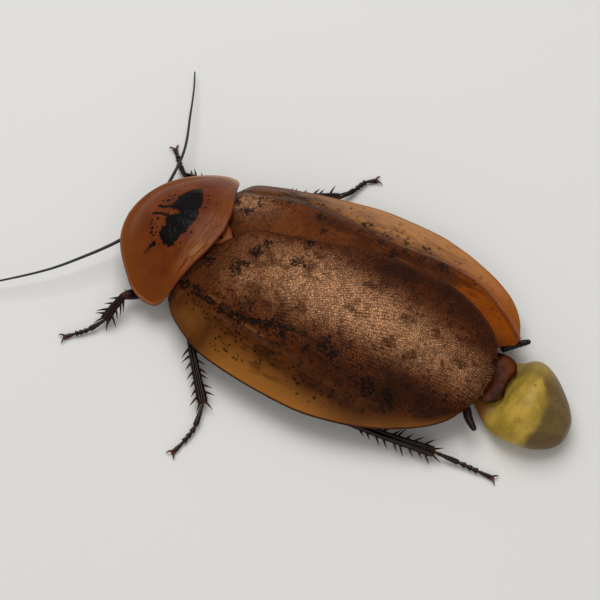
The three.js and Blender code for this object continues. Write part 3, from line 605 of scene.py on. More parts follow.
def wing_cover_leather():
    # Leathery chitin, a sheet of tiny cells between veins: the disc is tan and copper cell by cell, with
    # painted glints on single cells, a painted sheen in its tan middle and dark bands that are partly painted
    # shade, and the outer field has no grain, so it reads as clear amber with dark red specks in it.
    c = bpy.context.scene.roach_colours
    look = Look("leathery_wing_cover", (
        "grain", "amber", "rust", "tan", "shade", "cross", "orange", "gold", "vein", "streak", "speckle",
        "mark", "rim",
    ), IOR=1.45, Specular_IOR_Level=0.07)
    mark, where = look.mark, look.where
    # The cells are 0.33 by 0.38 mm, drawn as coarse as they need to show.
    wobble = look.add("TexNoise", {}, {"Vector": where, "Scale": 1 / 0.6667, "Detail": 2.0}, "Color")
    shaken = look.add("VectorMath", TIMES_PLUS, (wobble, (0.35, 0.35, 0.0), where))
    stretched = look.add("VectorMath", TIMES, (shaken, (1 / 0.3333, 1 / 0.3846, 1 / 1.4286)))
    cells = {"Vector": stretched, "Scale": 1.0, "Randomness": 0.9}
    tint = look.add("SeparateColor", {}, (look.add("TexVoronoi", {}, cells, "Color"),))
    edge = look.add("TexVoronoi", {"feature": "DISTANCE_TO_EDGE"}, cells, "Distance")
    grain = look.add("TexNoise", {}, {"Vector": where, "Scale": 1 / 0.2941, "Detail": 4.0, "Roughness": 0.7})
    layers = {"Detail": 5.0, "Roughness": 0.68}
    pepper = look.add("TexNoise", {}, {"Vector": where, "Scale": 1 / 0.7692, **layers})
    cloud = look.add("TexNoise", {}, {"Vector": where, "Scale": 1 / 2.5, **MIDDLING})

    # Cell walls and short cross veins make the dark net; single cells and grains get painted highlights.
    wall = look.add("MapRange", SMOOTH, (edge, 0.02, 0.26, 1.0, 0.0))
    wall = look.add("Math", LARGER, (wall, look.add("Math", TIMES, (mark["cross"], 0.9))))
    net = look.add("Math", TIMES, (wall, look.add("MapRange", SMOOTH, (grain, 0.34, 0.58, 0.3, 0.9))))
    lit = look.add("MapRange", SMOOTH, (tint, 0.0, 0.6, 0.45, 1.0))
    # Painted glints: the brightest grains are lightened as if they caught the light.
    glint = look.add("MapRange", SMOOTH, (grain, 0.45, 0.64, 0.0, 0.74))
    fleck = look.add("Math", TIMES_PLUS, (mark["tan"], -0.1, pepper))
    fleck = look.add("MapRange", SMOOTH, (fleck, 0.5, 0.64))
    fleck = look.add("Math", TIMES, (fleck, look.add("MapRange", SMOOTH, (tint, 0.2, 0.7, 0.2, 0.9))))

    # The clear outer field: amber and honey, smoky in streaks, gold towards its edge.
    glassy = c.field_amber
    smoke = look.add("MapRange", SMOOTH, (pepper, 0.35, 0.6, 0.6, 1.0))
    for share, colour in (
        (look.add("MapRange", SMOOTH, (cloud, 0.3, 0.7)), c.field_honey),
        (mark["orange"], c.tip_orange),
        (look.add("Math", TIMES, (mark["shade"], smoke)), c.field_dark),
        (mark["gold"], c.field_gold),
    ):
        glassy = look.add("Mix", COLOURED, {0: share, 6: glassy, 7: colour}, 2)

    # Torn specks about 0.74 mm apart where all of them are kept. Each has its own size and chance.
    tear = look.add("TexNoise", {}, {"Vector": where, "Scale": 1 / 0.3846, "Detail": 3.0}, "Color")
    torn_place = look.add("VectorMath", TIMES_PLUS, (tear, (0.9, 0.9, 0.0), where))
    dots = {"Vector": torn_place, "Scale": 1 / 0.7407, "Randomness": 1.0}
    distance = look.add("TexVoronoi", {}, dots, "Distance")
    chance = look.add("SeparateColor", {}, (distance.node.outputs["Color"],))
    size = look.add("Math", TIMES_PLUS, (chance.node.outputs[1], 0.3, 0.19))
    dot = look.add("Math", MINUS, (distance, size))
    dot = look.add("MapRange", SMOOTH, (dot, -0.12, 0.08, 1.0, 0.0))
    chosen = look.add("Math", MINUS, (mark["speckle"], chance))
    chosen = look.add("MapRange", SMOOTH, (chosen, -0.02, 0.06))
    strength = look.add("Math", TIMES_PLUS, (mark["speckle"], 0.5, 0.42))
    specks = look.add("Math", TIMES, (look.add("Math", TIMES, (dot, chosen)), strength))

    # The larger dark marks have ragged edges that follow the cells.
    ragged = look.add("Math", TIMES_PLUS, (tint, -0.35, look.add("Math", MINUS, (grain, 0.5))))
    torn = look.add("Math", TIMES_PLUS, (ragged, 2.2, mark["mark"]))
    torn = look.add("MapRange", SMOOTH, (torn, 0.05, 0.75))
    torn = look.add("Math", TIMES, (torn, look.add("MapRange", SMOOTH, (mark["mark"], 0.02, 0.4, 0.0, 0.9))))

    gloss = look.add("MapRange", SMOOTH, (grain, 0.3, 0.7, 0.36, 0.52))
    gloss = look.add("Math", TIMES_PLUS, (mark["amber"], -0.08, gloss))
    relief = look.add("Math", MINUS, (look.add("Math", TIMES, (tint, 0.5)), wall))
    relief = look.add("Math", TIMES, (relief, look.add("Math", TIMES_PLUS, (mark["grain"], 0.85, 0.1))))
    normal = look.add("Bump", {}, {"Strength": 0.4, "Distance": 0.00006, "Height": grain})
    normal = look.add("Bump", {}, {"Strength": 0.75, "Distance": 0.00008, "Height": relief, "Normal": normal})
    return look.finish(c.wing_brown, [
        (look.add("MapRange", SMOOTH, (cloud, 0.34, 0.66)), c.wing_copper),
        (mark["rust"], c.wing_rust),
        # The tan coat is the cover's tan and a painted sheen in the middle of the disc.
        (look.add("Math", TIMES, (mark["tan"], lit)), c.wing_tan_and_sheen),
        # Painted glints on the brightest grains.
        (look.add("Math", TIMES, (mark["tan"], glint)), c.wing_glint),
        # Dark bands, partly painted shade.
        (look.add("Math", TIMES, (mark["shade"], 0.9)), c.wing_shade),
        (look.add("Math", TIMES, (net, mark["grain"])), c.wing_pepper),
        (look.add("Math", TIMES, (fleck, mark["grain"])), c.wing_pepper),
        (mark["amber"], glassy),
        (look.add("Math", TIMES, (mark["vein"], 0.8)), c.wing_vein),
        # On the left a pale streak; on the right a painted sheen and a painted highlight along the fold's
        # ridge.
        (look.add("Math", TIMES, (mark["streak"], 0.1)), c.wing_tan_and_sheen),
        (specks, c.wing_speckle),
        (torn, c.wing_mark),
        # Dark margin, with painted shadow along the inner edges.
        (mark["rim"], c.wing_rim_and_edge_shadow),
    ], gloss, normal)


def leg_chitin():
    # Thick polished chitin: a tight gloss on red-black, redder at the thin joints and claw tips.
    c = bpy.context.scene.roach_colours
    look = Look("glossy_leg_chitin", ("joint", "pad"), IOR=1.5, Specular_IOR_Level=0.2)
    cloud = look.add("TexNoise", {}, {"Vector": look.where, "Scale": 1 / 0.7143, "Detail": 3.0})
    layers = {"Detail": 3.0, "Roughness": 0.6}
    pits = look.add("TexNoise", {}, {"Vector": look.where, "Scale": 1 / 0.1667, **layers})
    return look.finish(c.leg_black, [
        (look.add("MapRange", SMOOTH, (cloud, 0.35, 0.7)), c.leg_brown),
        (look.mark["joint"], c.leg_joint),
        (look.mark["pad"], c.leg_pad),
    ], look.add("MapRange", SMOOTH, (cloud, 0.3, 0.7, 0.16, 0.28)),
        look.add("Bump", {}, {"Strength": 0.4, "Distance": 0.00005, "Height": pits}))


def feeler_chitin():
    # Thin beaded chitin under fine down: dull black with a browner bead at each ring.
    c = bpy.context.scene.roach_colours
    look = Look("beaded_feeler_chitin", ("joint",), IOR=1.5)
    return look.finish(c.feeler_black, [(look.mark["joint"], c.feeler_brown)], 0.5)


def face_chitin():
    # Hard varnished-looking chitin: brown-black with a paler yoke between the eyes.
    c = bpy.context.scene.roach_colours
    look = Look("glossy_face_chitin", ("pale",), IOR=1.54, Coat_Weight=0.3, Coat_Roughness=0.18)
    cloud = look.add("TexNoise", {}, {"Vector": look.where, "Scale": 1 / 1.111, "Detail": 3.0})
    pits = look.add("TexNoise", {}, {"Vector": look.where, "Scale": 1 / 0.1429, "Detail": 3.0})
    return look.finish(c.face_dark, [
        (look.add("MapRange", SMOOTH, (cloud, 0.35, 0.65)), c.face_brown),
        (look.mark["pale"], c.face_pale),
    ], 0.3, look.add("Bump", {}, {"Strength": 0.2, "Distance": 0.00003, "Height": pits}))


def eye_facets():
    # A wet-looking compound eye: black with sharp lights. Its facets are 0.11 mm, drawn as coarse as they
    # need to show.
    c = bpy.context.scene.roach_colours
    look = Look("compound_eye", IOR=1.56, Coat_Weight=0.5, Coat_Roughness=0.08)
    facet = look.add("TexVoronoi", {}, {"Vector": look.where, "Scale": 1 / 0.1111}, "Distance")
    edge = look.add("MapRange", SMOOTH, (facet, 0.2, 0.6))
    normal = look.add("Bump", {}, {"Strength": 0.5, "Distance": 0.00002, "Height": facet})
    return look.finish(c.eye_black, [(edge, c.eye_edge)], 0.14, normal)


def mouth_chitin():
    # Amber-brown chitin of jaws, lips and palps, darkest and hardest at the working edges.
    c = bpy.context.scene.roach_colours
    look = Look("mouthpart_chitin", ("joint",), IOR=1.5, Coat_Weight=0.2, Coat_Roughness=0.2)
    cloud = look.add("TexNoise", {}, {"Vector": look.where, "Scale": 1 / 0.6667, "Detail": 3.0})
    return look.finish(c.mouth_amber, [
        (look.add("MapRange", SMOOTH, (cloud, 0.35, 0.65)), c.mouth_brown),
        (look.mark["joint"], c.face_dark),
    ], 0.33)


def belly_chitin():
    # Flexible overlapping plates: red-brown with a quiet gloss, dark rear seams, paler skin between.
    c = bpy.context.scene.roach_colours
    look = Look("belly_plate_chitin", ("seam", "pale"), IOR=1.5, Specular_IOR_Level=0.07)
    cloud = look.add("TexNoise", {}, {"Vector": look.where, "Scale": 1 / 2.0, "Detail": 4.0})
    grain = look.add("TexNoise", {}, {"Vector": look.where, "Scale": 1 / 0.2, **MIDDLING})
    return look.finish(c.belly_red, [
        (look.add("MapRange", SMOOTH, (cloud, 0.3, 0.7)), c.belly_brown),
        (look.mark["seam"], c.belly_seam),
        (look.mark["pale"], c.belly_pale),
        (look.add("MapRange", SMOOTH, (grain, 0.6, 0.75, 0.0, 0.4)), c.belly_seam),
    ], look.add("MapRange", SMOOTH, (grain, 0.3, 0.7, 0.28, 0.42)),
        look.add("Bump", {}, {"Strength": 0.25, "Distance": 0.00004, "Height": grain}))


def hind_wing_membrane():
    # Folded parchment-like membrane: dull tan that lets a little light in, with brown veins.
    c = bpy.context.scene.roach_colours
    look = Look(
        "folded_wing_membrane", ("vein",), IOR=1.45, Subsurface_Weight=0.15, Subsurface_Scale=0.001,
    )
    vein = look.mark["vein"]
    normal = look.add("Bump", {}, {"Strength": 0.4, "Distance": 0.00008, "Height": vein})
    return look.finish(c.membrane_tan, [(look.add("Math", TIMES, (vein, 0.6)), c.wing_vein)], 0.45, normal)


def pouch_skin():
    # Moist stretched skin: yellow-olive where the wall is thin and light gets in, grey-brown where the
    # contents show through and where shade is painted on the side away from the light, browner where it
    # leaves the belly.
    c = bpy.context.scene.roach_colours
    look = Look(
        "moist_pouch_skin", ("grey", "collar", "speckle"), IOR=1.4, Specular_IOR_Level=0.25,
        Subsurface_Weight=0.35, Subsurface_Scale=0.0022, Subsurface_Radius=(1.0, 0.75, 0.22),
    )
    where = look.where
    cloud = look.add("TexNoise", {}, {"Vector": where, "Scale": 1 / 3.125, "Detail": 4.0, "Roughness": 0.55})
    fine = look.add("TexNoise", {}, {"Vector": where, "Scale": 1 / 0.5556, **MIDDLING})
    squeezed = look.add("VectorMath", TIMES, (where, (1.0, 0.6, 1.0)))
    folds = look.add("TexNoise", {}, {"Vector": squeezed, "Scale": 1 / 1.111, **CRISP})
    browner = look.add("MapRange", SMOOTH, (cloud, 0.3, 0.7))
    grey = look.add("Mix", COLOURED, {0: browner, 6: c.pouch_grey, 7: c.pouch_brown}, 2)
    return look.finish(c.pouch_olive, [
        (look.add("MapRange", SMOOTH, (cloud, 0.35, 0.65)), c.pouch_yellow),
        (look.add("MapRange", SMOOTH, (fine, 0.5, 0.7, 0.0, 0.25)), c.pouch_amber),
        (look.mark["grey"], grey),
        (look.mark["collar"], c.pouch_collar),
        (look.mark["speckle"], c.pouch_speck),
    ], look.add("MapRange", SMOOTH, (fine, 0.3, 0.7, 0.3, 0.42)),
        look.add("Bump", {}, {"Strength": 0.22, "Distance": 0.0001, "Height": folds}))


def floor_board():
    # Matt painted board: no gloss, so that only the soft shadow shows on it.
    look = Look("matt_pale_board", IOR=1.4, Roughness=0.9)
    return look.finish(bpy.context.scene.roach_colours.floor_white)


# ---- Pieces ----
def make_shield():
    """The shield: a dished plate with a bead at its rim, two faint dents and its black blotch."""
    thickness = in_mm(bpy.context.scene.roach_sizes.shield_thickness)
    around, rings, lower = int(460 * FINE), int(110 * FINE), int(20 * FINE)
    half = evenly(SHIELD_HALF, around // 2 + 1)
    rim = np.concatenate([half, np.column_stack([-half[-2:0:-1, 0], half[-2:0:-1, 1]])])
    askew = 1 - ramp(rim[:, 1], -6, 1)
    rim = rim + np.column_stack([1.2 * askew, -0.7 * askew])
    centre = np.array([0.0, -2.6])
    steps = np.linspace(0.004, 1, rings) ** 0.85
    flat = centre + (rim - centre)[None, :, :] * steps[:, None, None]
    x, y = flat[..., 0], flat[..., 1]
    z = shield_height(x, y)
    edge = np.broadcast_to(steps[:, None], x.shape)
    inward = (1 - edge) * np.hypot(rim[:, 0] - centre[0], rim[:, 1] - centre[1])[None, :]
    rear = ramp(np.arctan2(rim[:, 1] - centre[1], np.abs(rim[:, 0])), 0.15, 0.45)[None, :]

    bead = bump_at(inward, 0.2, 0.22)
    flange = bump_at(inward, 1.5, 0.8) * (1 - rear)
    z = z - 0.16 * flange + 0.05 * bead
    z = z - 0.1 * bump_at(inward, 2.6, 0.9) * rear
    for sx in (-1, 1):
        z = z - 0.2 * np.exp(-(((x - sx * 3.4) / 1.6) ** 2 + ((y + 2.2) / 2.2) ** 2))
        z = z - 0.1 * np.exp(-(((x - sx * 6.8) / 1.0) ** 2 + ((y + 3.6) / 2.6) ** 2))
    z = z - 0.1 * bump_at(x, 0.1, 0.45) * ramp(y, -8, -4) * (1 - ramp(y, -1, 2))
    z = z + 0.05 * (layered_noise(x * 0.5, y * 0.5, 3) - 0.5)
    scratch = value_noise(inward * 3.5, x * 0.4 + 7, 4)
    strip = rear * (1 - ramp(inward, 2.4, 5.0)) * ramp(inward, 0.25, 0.5)
    strip = strip * (1 - ramp(np.abs(x), 8.5, 11.5))
    z = z + 0.1 * (scratch - 0.5) * strip
    z = z - 0.25 * ramp(edge, 0.993, 1.0) ** 2

    rough = (layered_noise(x * 2.4, y * 2.4, 9) - 0.5) * 0.75
    distance = polygon_distance(x, y, BLOTCH)
    blotch = 1 - ramp(distance + rough, -0.06, 0.1)
    arms = line_distance(x, y, [(-0.6, -7.9), (-0.6, -6.7), (-0.9, -5.7), (-0.9, -4.8)])
    arms = np.minimum(arms, line_distance(x, y, [(1.1, -8.0), (0.85, -6.7), (1.1, -5.0)]))
    blotch = np.maximum(blotch, 1 - ramp(arms + rough * 0.3, 0.2, 0.36))
    blotch = np.maximum(blotch, spots(x, y, SHIELD_SPOTS, 0.6, 0.25, 3))
    smear = 1 - ramp(line_distance(x, y, [(6.6, -4.9), (8.1, -5.8)]) + rough * 0.3, 0.1, 0.4)
    blotch = np.maximum(blotch, 0.6 * smear)
    near = np.exp(-((np.maximum(distance, 0) / 1.1) ** 2))
    fine_spots = ramp(value_noise(x * 3.6, y * 3.6, 21), 0.78, 0.88) * near * (y < 0.8)
    blotch = np.maximum(blotch, 0.85 * fine_spots)
    window = 1 - ramp(np.hypot(x + 3.9, y - 0.1), 0.1, 0.2)
    blotch = blotch * (1 - window)
    z = z - 0.05 * blotch + 0.09 * blotch * (layered_noise(x * 2.6, y * 2.6, 31) - 0.5)

    right = ramp(-x, 4, 11) * (1 - rear)
    band = 0.5 + 1.1 * right * ramp(y, -9, -1)
    rim_mark = (1 - ramp(inward, 0.3 * band, 1.2 * band)) * (0.16 + 0.5 * right) * (1 - 0.8 * rear)
    line = (1 - ramp(inward, 0.1, 0.34)) * rear * 0.85
    line = np.maximum(line, 0.6 * (1 - ramp(inward, 0.05, 0.14)) * (1 - rear))
    glow = (1 - ramp(inward, 0.4, 5.5)) * (1 - 0.8 * rear) * (0.75 + 0.25 * ramp(x, -8, 8))
    disc = np.exp(-((x / 7.5) ** 2 + ((y + 0.5) / 4.5) ** 2))
    halo = np.exp(-((np.maximum(distance, 0) / 0.5) ** 2)) * 0.5
    # Painted highlight: the rear strip's scratches are lightened most around x = 5.6, where the light is
    # reflected.
    lit = np.exp(-(((x - 5.6) / 3.2) ** 2))
    stripe = strip * (0.35 + 0.65 * lit)

    build = Build()
    top = np.stack([x, y, z], axis=2)
    steps_low = np.linspace(1, 0.01, lower) ** 0.9
    low_flat = centre + (rim - centre)[None, :, :] * np.minimum(steps_low, 0.985)[:, None, None]
    lx, ly = low_flat[..., 0], low_flat[..., 1]
    lz = shield_height(lx, ly) - thickness * (1 + 0.35 * (np.abs(lx) / 14) ** 2)
    low = np.stack([lx, ly, lz], axis=2)
    zero = np.zeros(lx.shape)
    marks = {
        "blotch": blotch, "rim": rim_mark, "line": line, "glow": glow, "disc": disc, "stripe": stripe,
        "halo": halo, "inward": inward * np.ones_like(x), "sideways": x,
    }
    marks = {k: np.concatenate([v, zero + (0.4 if k == "glow" else 0)]) for k, v in marks.items()}
    add_rings(build, np.concatenate([top, low]), **marks)
    build.make("shield", shield_chitin(), ("pronotum",))


def make_root_triangle():
    """The small amber triangle between the wing roots."""
    rows, columns = 26, 26
    v, u = np.meshgrid(np.linspace(0, 1, rows), np.linspace(-1, 1, columns), indexing="ij")
    half = 2.8 * (1 - v**2.4) + 0.08
    x = u * half + 0.15 * v
    y = 2.0 + 5.2 * v
    z = 11.86 + 0.06 * (y - 2.3) - 0.25 * u**2 + 0.1 * bump_at(v, 0.8, 0.2)
    build = Build()
    thickness = in_mm(bpy.context.scene.roach_sizes.triangle_thickness)
    mark = spots(x, y, [(0.9, 5.3, 0.3)], 0.3, 0.3)
    add_sheet(build, np.stack([x, y, z], axis=2), thickness, blotch=mark, glow=np.full(x.shape, 0.8))
    build.make("wing_root_triangle", shield_chitin(), ("scutellum",))


def wing_grid(inner, outer, rows, columns, bulge):
    """The wing from above: x, y and the share of the way from its inner to its outer edge."""
    inside, outside = smooth_path(inner, rows), smooth_path(outer, rows)
    u = np.linspace(0, 1, columns)[None, :, None]
    flat = inside[:, None, :] + (outside - inside)[:, None, :] * u
    tip = np.clip((np.linspace(0, 1, rows)[:, None] - 0.85) / 0.15, 0, 1)
    flat[..., 1] += bulge * tip * np.sin(np.pi * u[..., 0])
    return flat[..., 0], flat[..., 1], np.broadcast_to(u[..., 0], flat.shape[:2])


def disc_veins(reach, bearing):
    """Veins that fan out of the root and fork, so that their spacing stays about 0.7 mm."""
    wave, total = 0.0, 0.0
    for k, (low, high) in enumerate([(0, 8), (8, 17), (17, 34), (34, 90)]):
        weight = ramp(reach, low - 2, low + 2) * (1 - ramp(reach, high - 2, high + 2)) + 1e-6
        lines = np.abs(((bearing * VEINS_PER_RADIAN * 2**k) % 1.0) - 0.5) * 2
        wave, total = wave + weight * (1 - ramp(lines, 0.12, 0.45)), total + weight
    return wave / total * ramp(reach, 3, 8)


def cross_veins(reach, bearing, spacing, seed):
    """Short veins between the long ones, offset from row to row like bricks."""
    doubled = 2 ** np.select([reach < 8, reach < 17, reach < 34], [0, 1, 2], 3)
    row = np.floor(bearing * VEINS_PER_RADIAN * doubled + 0.5)
    shift = np.sin(row * 12.9898 + seed) * 43758.5453
    rung = np.abs(((reach / spacing + shift - np.floor(shift)) % 1.0) - 0.5) * 2
    return (1 - ramp(rung, 0.1, 0.5)) * ramp(reach, 3, 8)


def make_wing_cover(side, name, inner, outer, lift, bulge, marks_at, seed):
    """One wing cover with its folds, veins, margin and dark marks. side is +1 on the left."""
    sizes = bpy.context.scene.roach_sizes
    x, y, u = wing_grid(inner, outer, int(460 * FINE), int(240 * FINE), bulge)
    z = back_height(x, y) + lift
    left = side > 0
    out = side * x
    width = np.hypot(x[:, -1] - x[:, 0], y[:, -1] - y[:, 0])[:, None]
    from_outer = (1 - u) * width
    from_inner = u * width

    # The long fold parts the arched disc from the flatter outer field.
    fold_at = look_up(LEFT_FOLD if left else RIGHT_FOLD, y)
    field = ramp(out, fold_at - 0.5, fold_at + 1.3)
    z = z - 0.3 * bump_at(out, fold_at + 0.9, 0.8) * ramp(y, 1, 8)
    z = z + 0.16 * bump_at(out, fold_at - 1.0, 1.1)
    near_arc = line_distance(out, y, WING_ARC)
    z = z - 0.22 * bump_at(near_arc, 0, 0.4) + 0.12 * bump_at(near_arc, 0.9, 0.6)
    inside_arc = 1 - ramp(polygon_distance(out, y, WING_ARC + [(-6, 0), (10, 0)]), -0.6, 0.4)
    z = z + 0.06 * (layered_noise(x * 0.35, y * 0.35, seed) - 0.5) * 2

    reach = np.hypot(out - 13.5, y - 8.0)
    wander = (layered_noise(x * 0.2, y * 0.2, seed + 4) - 0.5) * 0.04
    bearing = np.arctan2(13.5 - out, y - 8.0) + wander
    disc_vein = disc_veins(reach, bearing)
    cross = cross_veins(reach, bearing, in_mm(sizes.rung_spacing), seed)
    broken = 0.5 + 0.6 * ramp(layered_noise(x * 0.7, y * 0.7, seed + 6), 0.4, 0.65)
    field_wave = np.abs((((from_outer + 0.12 * y) / in_mm(sizes.vein_spacing)) % 1.0) - 0.5) * 2
    field_vein = (1 - ramp(field_wave, 0.1, 0.6)) * (1 - ramp(out - fold_at, 2.0, 5.0))
    field_vein = field_vein * (0.25 + 0.35 * ramp(y, 6, 16))
    field_part = ramp(out, fold_at - 1.4, fold_at) * 0.8 * broken * (1 - 0.75 * ramp(y, 20, 30))
    vein = disc_vein * (1 - field) * (1 - 0.75 * inside_arc) * broken + field_vein * field_part
    fade = ramp(from_inner, 0.3, 1.0) * ramp(from_outer, 0.3, 1.5)
    z = z + in_mm(sizes.vein_height) * vein * fade
    z = z + 0.05 * bump_at(from_outer, 0.16, 0.2) - 0.05 * bump_at(from_outer, 0.7, 0.4)
    z = z - 0.1 * (1 - ramp(from_outer, 0, 0.12)) - 0.08 * (1 - ramp(from_inner, 0, 0.35))
    if not left:
        # The far margin curls up to a thin pale ridge towards the tip.
        curl = ramp(y, 26, 42)
        z = z + 0.14 * curl * bump_at(out, fold_at + 0.4, 1.1)
        z = z - 0.2 * curl * bump_at(out, fold_at + 2.6, 1.4)

    # Tan in the middle with a painted sheen, rust at the root, and dark bands that follow the folds, partly
    # painted shade.
    cloud = layered_noise(x * 0.22, y * 0.3, seed + 8)
    blots = layered_noise(x * 0.55, y * 0.5, seed + 28, 4)
    grainy = layered_noise(x * 1.3, y * 1.1, seed + 12)
    streaky = layered_noise(out * 1.3, y * 0.33, seed + 60, 4)
    mottle = 0.7 * field * ramp(streaky, 0.48, 0.62) * ramp(y, 7, 11)
    mottle = mottle * (1 - ramp(y, 24, 30)) * ramp(from_outer, 0.8, 3.0)
    if left:
        along = look_up(TAN_AND_SHEEN_ALONG, y)
        tan = along * np.exp(-(np.abs(out - 2.5) / look_up(TAN_AND_SHEEN_ACROSS, y)) ** 2.6)
        tan = np.maximum(tan, 0.6 * hill(out, y, 6.5, 13.5, 2.6, 4.2))
        tan = tan * (1 - field) * (1 - 0.55 * ramp(blots, 0.52, 0.68)) * (0.8 + 0.5 * (grainy - 0.3))
        # Painted highlight: the tan is raised in a broad patch around out = 3.5, y = 29.5, where the light is
        # reflected.
        tan = tan * ramp(from_inner, 0.2, 2.0) * (0.85 + 0.55 * hill(out, y, 3.5, 29.5, 5.5, 9.0))
        rust = 0.85 * hill(out, y, 9.0, 16.0, 4.5, 9.0) + 0.85 * (1 - ramp(y, 8, 15))
        rear_field = ramp(out, fold_at - 1.5, fold_at + 0.5) * ramp(streaky, 0.25, 0.55)
        # Painted shade along the rear of the inner edge, where the disc slopes away from the light.
        inner_slope_shade = (1 - ramp(from_inner, 2.5, 6.0)) * ramp(from_inner, -0.1, 0.9)
        # The dark bands: painted shade on the inner slope and over the rear of the disc, with the cover's own
        # dark mottling, root and blots.
        shade = np.maximum.reduce([
            0.95 * ramp(y, 33, 43) * ramp(out, 6.5, 10.5) * (1 - ramp(from_outer, 3.5, 1.2)),
            0.85 * ramp(y, 25, 33) * inner_slope_shade,
            0.85 * bump_at(out, fold_at - 0.2, 1.7) * ramp(y, 22, 30),
            0.95 * ramp(y, 22, 34) * rear_field * (0.35 + 0.65 * ramp(from_outer, 0.5, 3.5)),
            0.6 * ramp(y, 53, 57),
            0.35 * (1 - ramp(y, 7, 10)) * (1 - field) + 0.4 * ramp(blots, 0.5, 0.7),
            mottle,
        ])
        shade = np.clip(shade * (0.7 + 0.9 * (cloud - 0.35)), 0, 1)
    else:
        tan = 0.75 * hill(out, y, 8.6, 5.0, 3.4, 4.2) * (0.5 + grainy)
        rust = 0.9 + 0 * x
        # Painted shadow, broken into streaks: a dark band on the right cover beside the edge of the left
        # cover that lies over it.
        shadow_by_left = ramp(streaky, 0.38, 0.55) * bump_at(out, fold_at - 2.6, 2.4)
        shadow_by_left = shadow_by_left * ramp(y, 14, 20) * (1 - ramp(y, 46, 54))
        root = 0.7 * ramp(layered_noise(x * 1.2, y * 1.0, 55), 0.45, 0.62) * hill(out, y, 6.0, 5.5, 5.0, 4.0)
        smoke = 0.9 * ramp(streaky, 0.45, 0.58) * field * (1 - ramp(y, 38, 50))
        smoke = smoke * (1 - ramp(out - fold_at, 2.5, 7.5))
        shade = np.clip(np.maximum.reduce([
            0.72 * shadow_by_left, 0.8 * root, smoke, 0.5 * bump_at(out, fold_at - 0.6, 0.5),
        ]), 0, 1)

    # Specks crowd along the fold, and a smooth pale shoulder of the left cover has few of them.
    near_fold = np.exp(-(((out - fold_at) / 3.0) ** 2))
    clumps = ramp(layered_noise(x * 0.5, y * 0.45, seed + 20), 0.35, 0.65)
    sprinkle = (0.2 + 1.0 * near_fold + 0.62 * field) * (0.25 + 0.95 * clumps) * ramp(y, 2, 7)
    patches = spots(out, y, SPECK_PATCHES, 0.6, 0.5, seed)
    shoulder = hill(out, y, 15.0, 7.0, 2.6, 3.8)
    speckle = np.clip(np.maximum(sprinkle, 0.95 * patches), 0, 1) * ramp(from_outer, 0.5, 3.0)
    speckle = speckle * (1 - 0.85 * shoulder)
    if not left:
        along_ridge = 0.75 * bump_at(out, fold_at - 1.2, 1.8) * clumps
        speckle = np.maximum(speckle * (1 - 0.5 * ramp(y, 28, 36)), along_ridge)
    lobe = line_distance(out, y, SHOULDER_LOBE)
    shade = np.maximum(shade, 0.7 * bump_at(lobe, 0, 0.8) * field)
    z = z - 0.1 * bump_at(lobe, 0, 0.7) * field + 0.18 * shoulder

    # The marks: those of the table, the broken long line and, on the left, a short slanting one.
    mark = spots(x, y, marks_at, 0.8, 0.55, seed + 40)
    fading = (1.1 if left else 0.45) * (1 - 0.5 * ramp(y, 22, 30))
    long_line = line_distance(out, y, LONG_LINE) + (grainy - 0.5) * 1.2
    mark = np.maximum(mark, (1 - ramp(long_line, 0.25, 0.75)) * fading)
    if left:
        slant = line_distance(out, y, SLANTING_LINE) + (grainy - 0.5) * 0.6
        mark = np.maximum(mark, 0.6 * (1 - ramp(slant, 0.1, 0.5)))
        streak = bump_at(line_distance(out, y, PALE_STREAK), 0, 0.22)
    else:
        # Painted highlight: a golden sheen over the right cover's outer field and a pale line along the ridge
        # of its fold.
        streak = 2.4 * field * ramp(y, 10, 26) * (1 - ramp(y, 47, 55)) * ramp(out - fold_at, 0.2, 1.8)
        streak = streak * (0.4 + 0.6 * ramp(from_outer, 0.1, 1.2))
        streak = streak + 1.1 * bump_at(out, fold_at + 0.3, 0.3) * ramp(y, 24, 34)

    # Gold where light gets through the thin edge.
    reach_in = look_up(GOLD_REACH, y)
    gold = (1 - ramp(from_outer / reach_in, 0.05, 1.0)) ** 1.3 * ramp(y, 8, 17)
    gold = gold * (0.85 - 0.55 * ramp(y, 30, 40)) * ramp(from_outer, 0.05, 0.3)
    gold = np.maximum(gold * (1 - 0.7 * mottle), 0.28 * shoulder * left)
    if not left:
        wide = field * (0.75 + 0.3 * ramp(y, 20, 44)) * (1 - 0.3 * ramp(blots, 0.45, 0.65))
        gold = np.maximum(gold, wide * (0.35 + 0.65 * ramp(out - fold_at, 0.5, 5.0)))
        gold = gold * (1 - 0.4 * ramp(y, 43, 50)) * (0.4 + 0.6 * ramp(y, 6, 24)) * (1 - 0.75 * smoke)
    orange = ramp(y, 38, 48) * ramp(out, 4, 9) * (not left) * 0.9
    rim = (1 - ramp(from_outer, 0.08, 0.2)) * 0.8
    # Painted shadow: a dark line along the inner edge, where the covers meet.
    rim = rim + 0.85 * (1 - ramp(from_inner, 0.12, 0.4)) * ramp(y, 4, 8)
    amber = np.maximum(field, 0.35 * inside_arc * (1 - ramp(y, 8, 12)) * (1 - tan))
    grain = np.clip(1 - 0.94 * field, 0.05, 1)
    if not left:
        amber = np.maximum(amber, ramp(y, 30, 46))
        grain = grain * (0.5 + 0.4 * (y < 12))
    build = Build()
    add_sheet(
        build, np.stack([x, y, z], axis=2), in_mm(sizes.cover_thickness),
        tan=np.clip(tan, 0, 1), rust=np.clip(rust, 0, 1), shade=shade, amber=amber,
        gold=np.clip(gold, 0, 1), vein=vein * fade, mark=mark, speckle=speckle, rim=rim, grain=grain,
        streak=streak, orange=orange, cross=cross * (1 - field) * (0.45 + 0.55 * broken),
    )
    node = f"tegmen_{'left' if left else 'right'}"
    build.make(name, wing_cover_leather(), (node,))


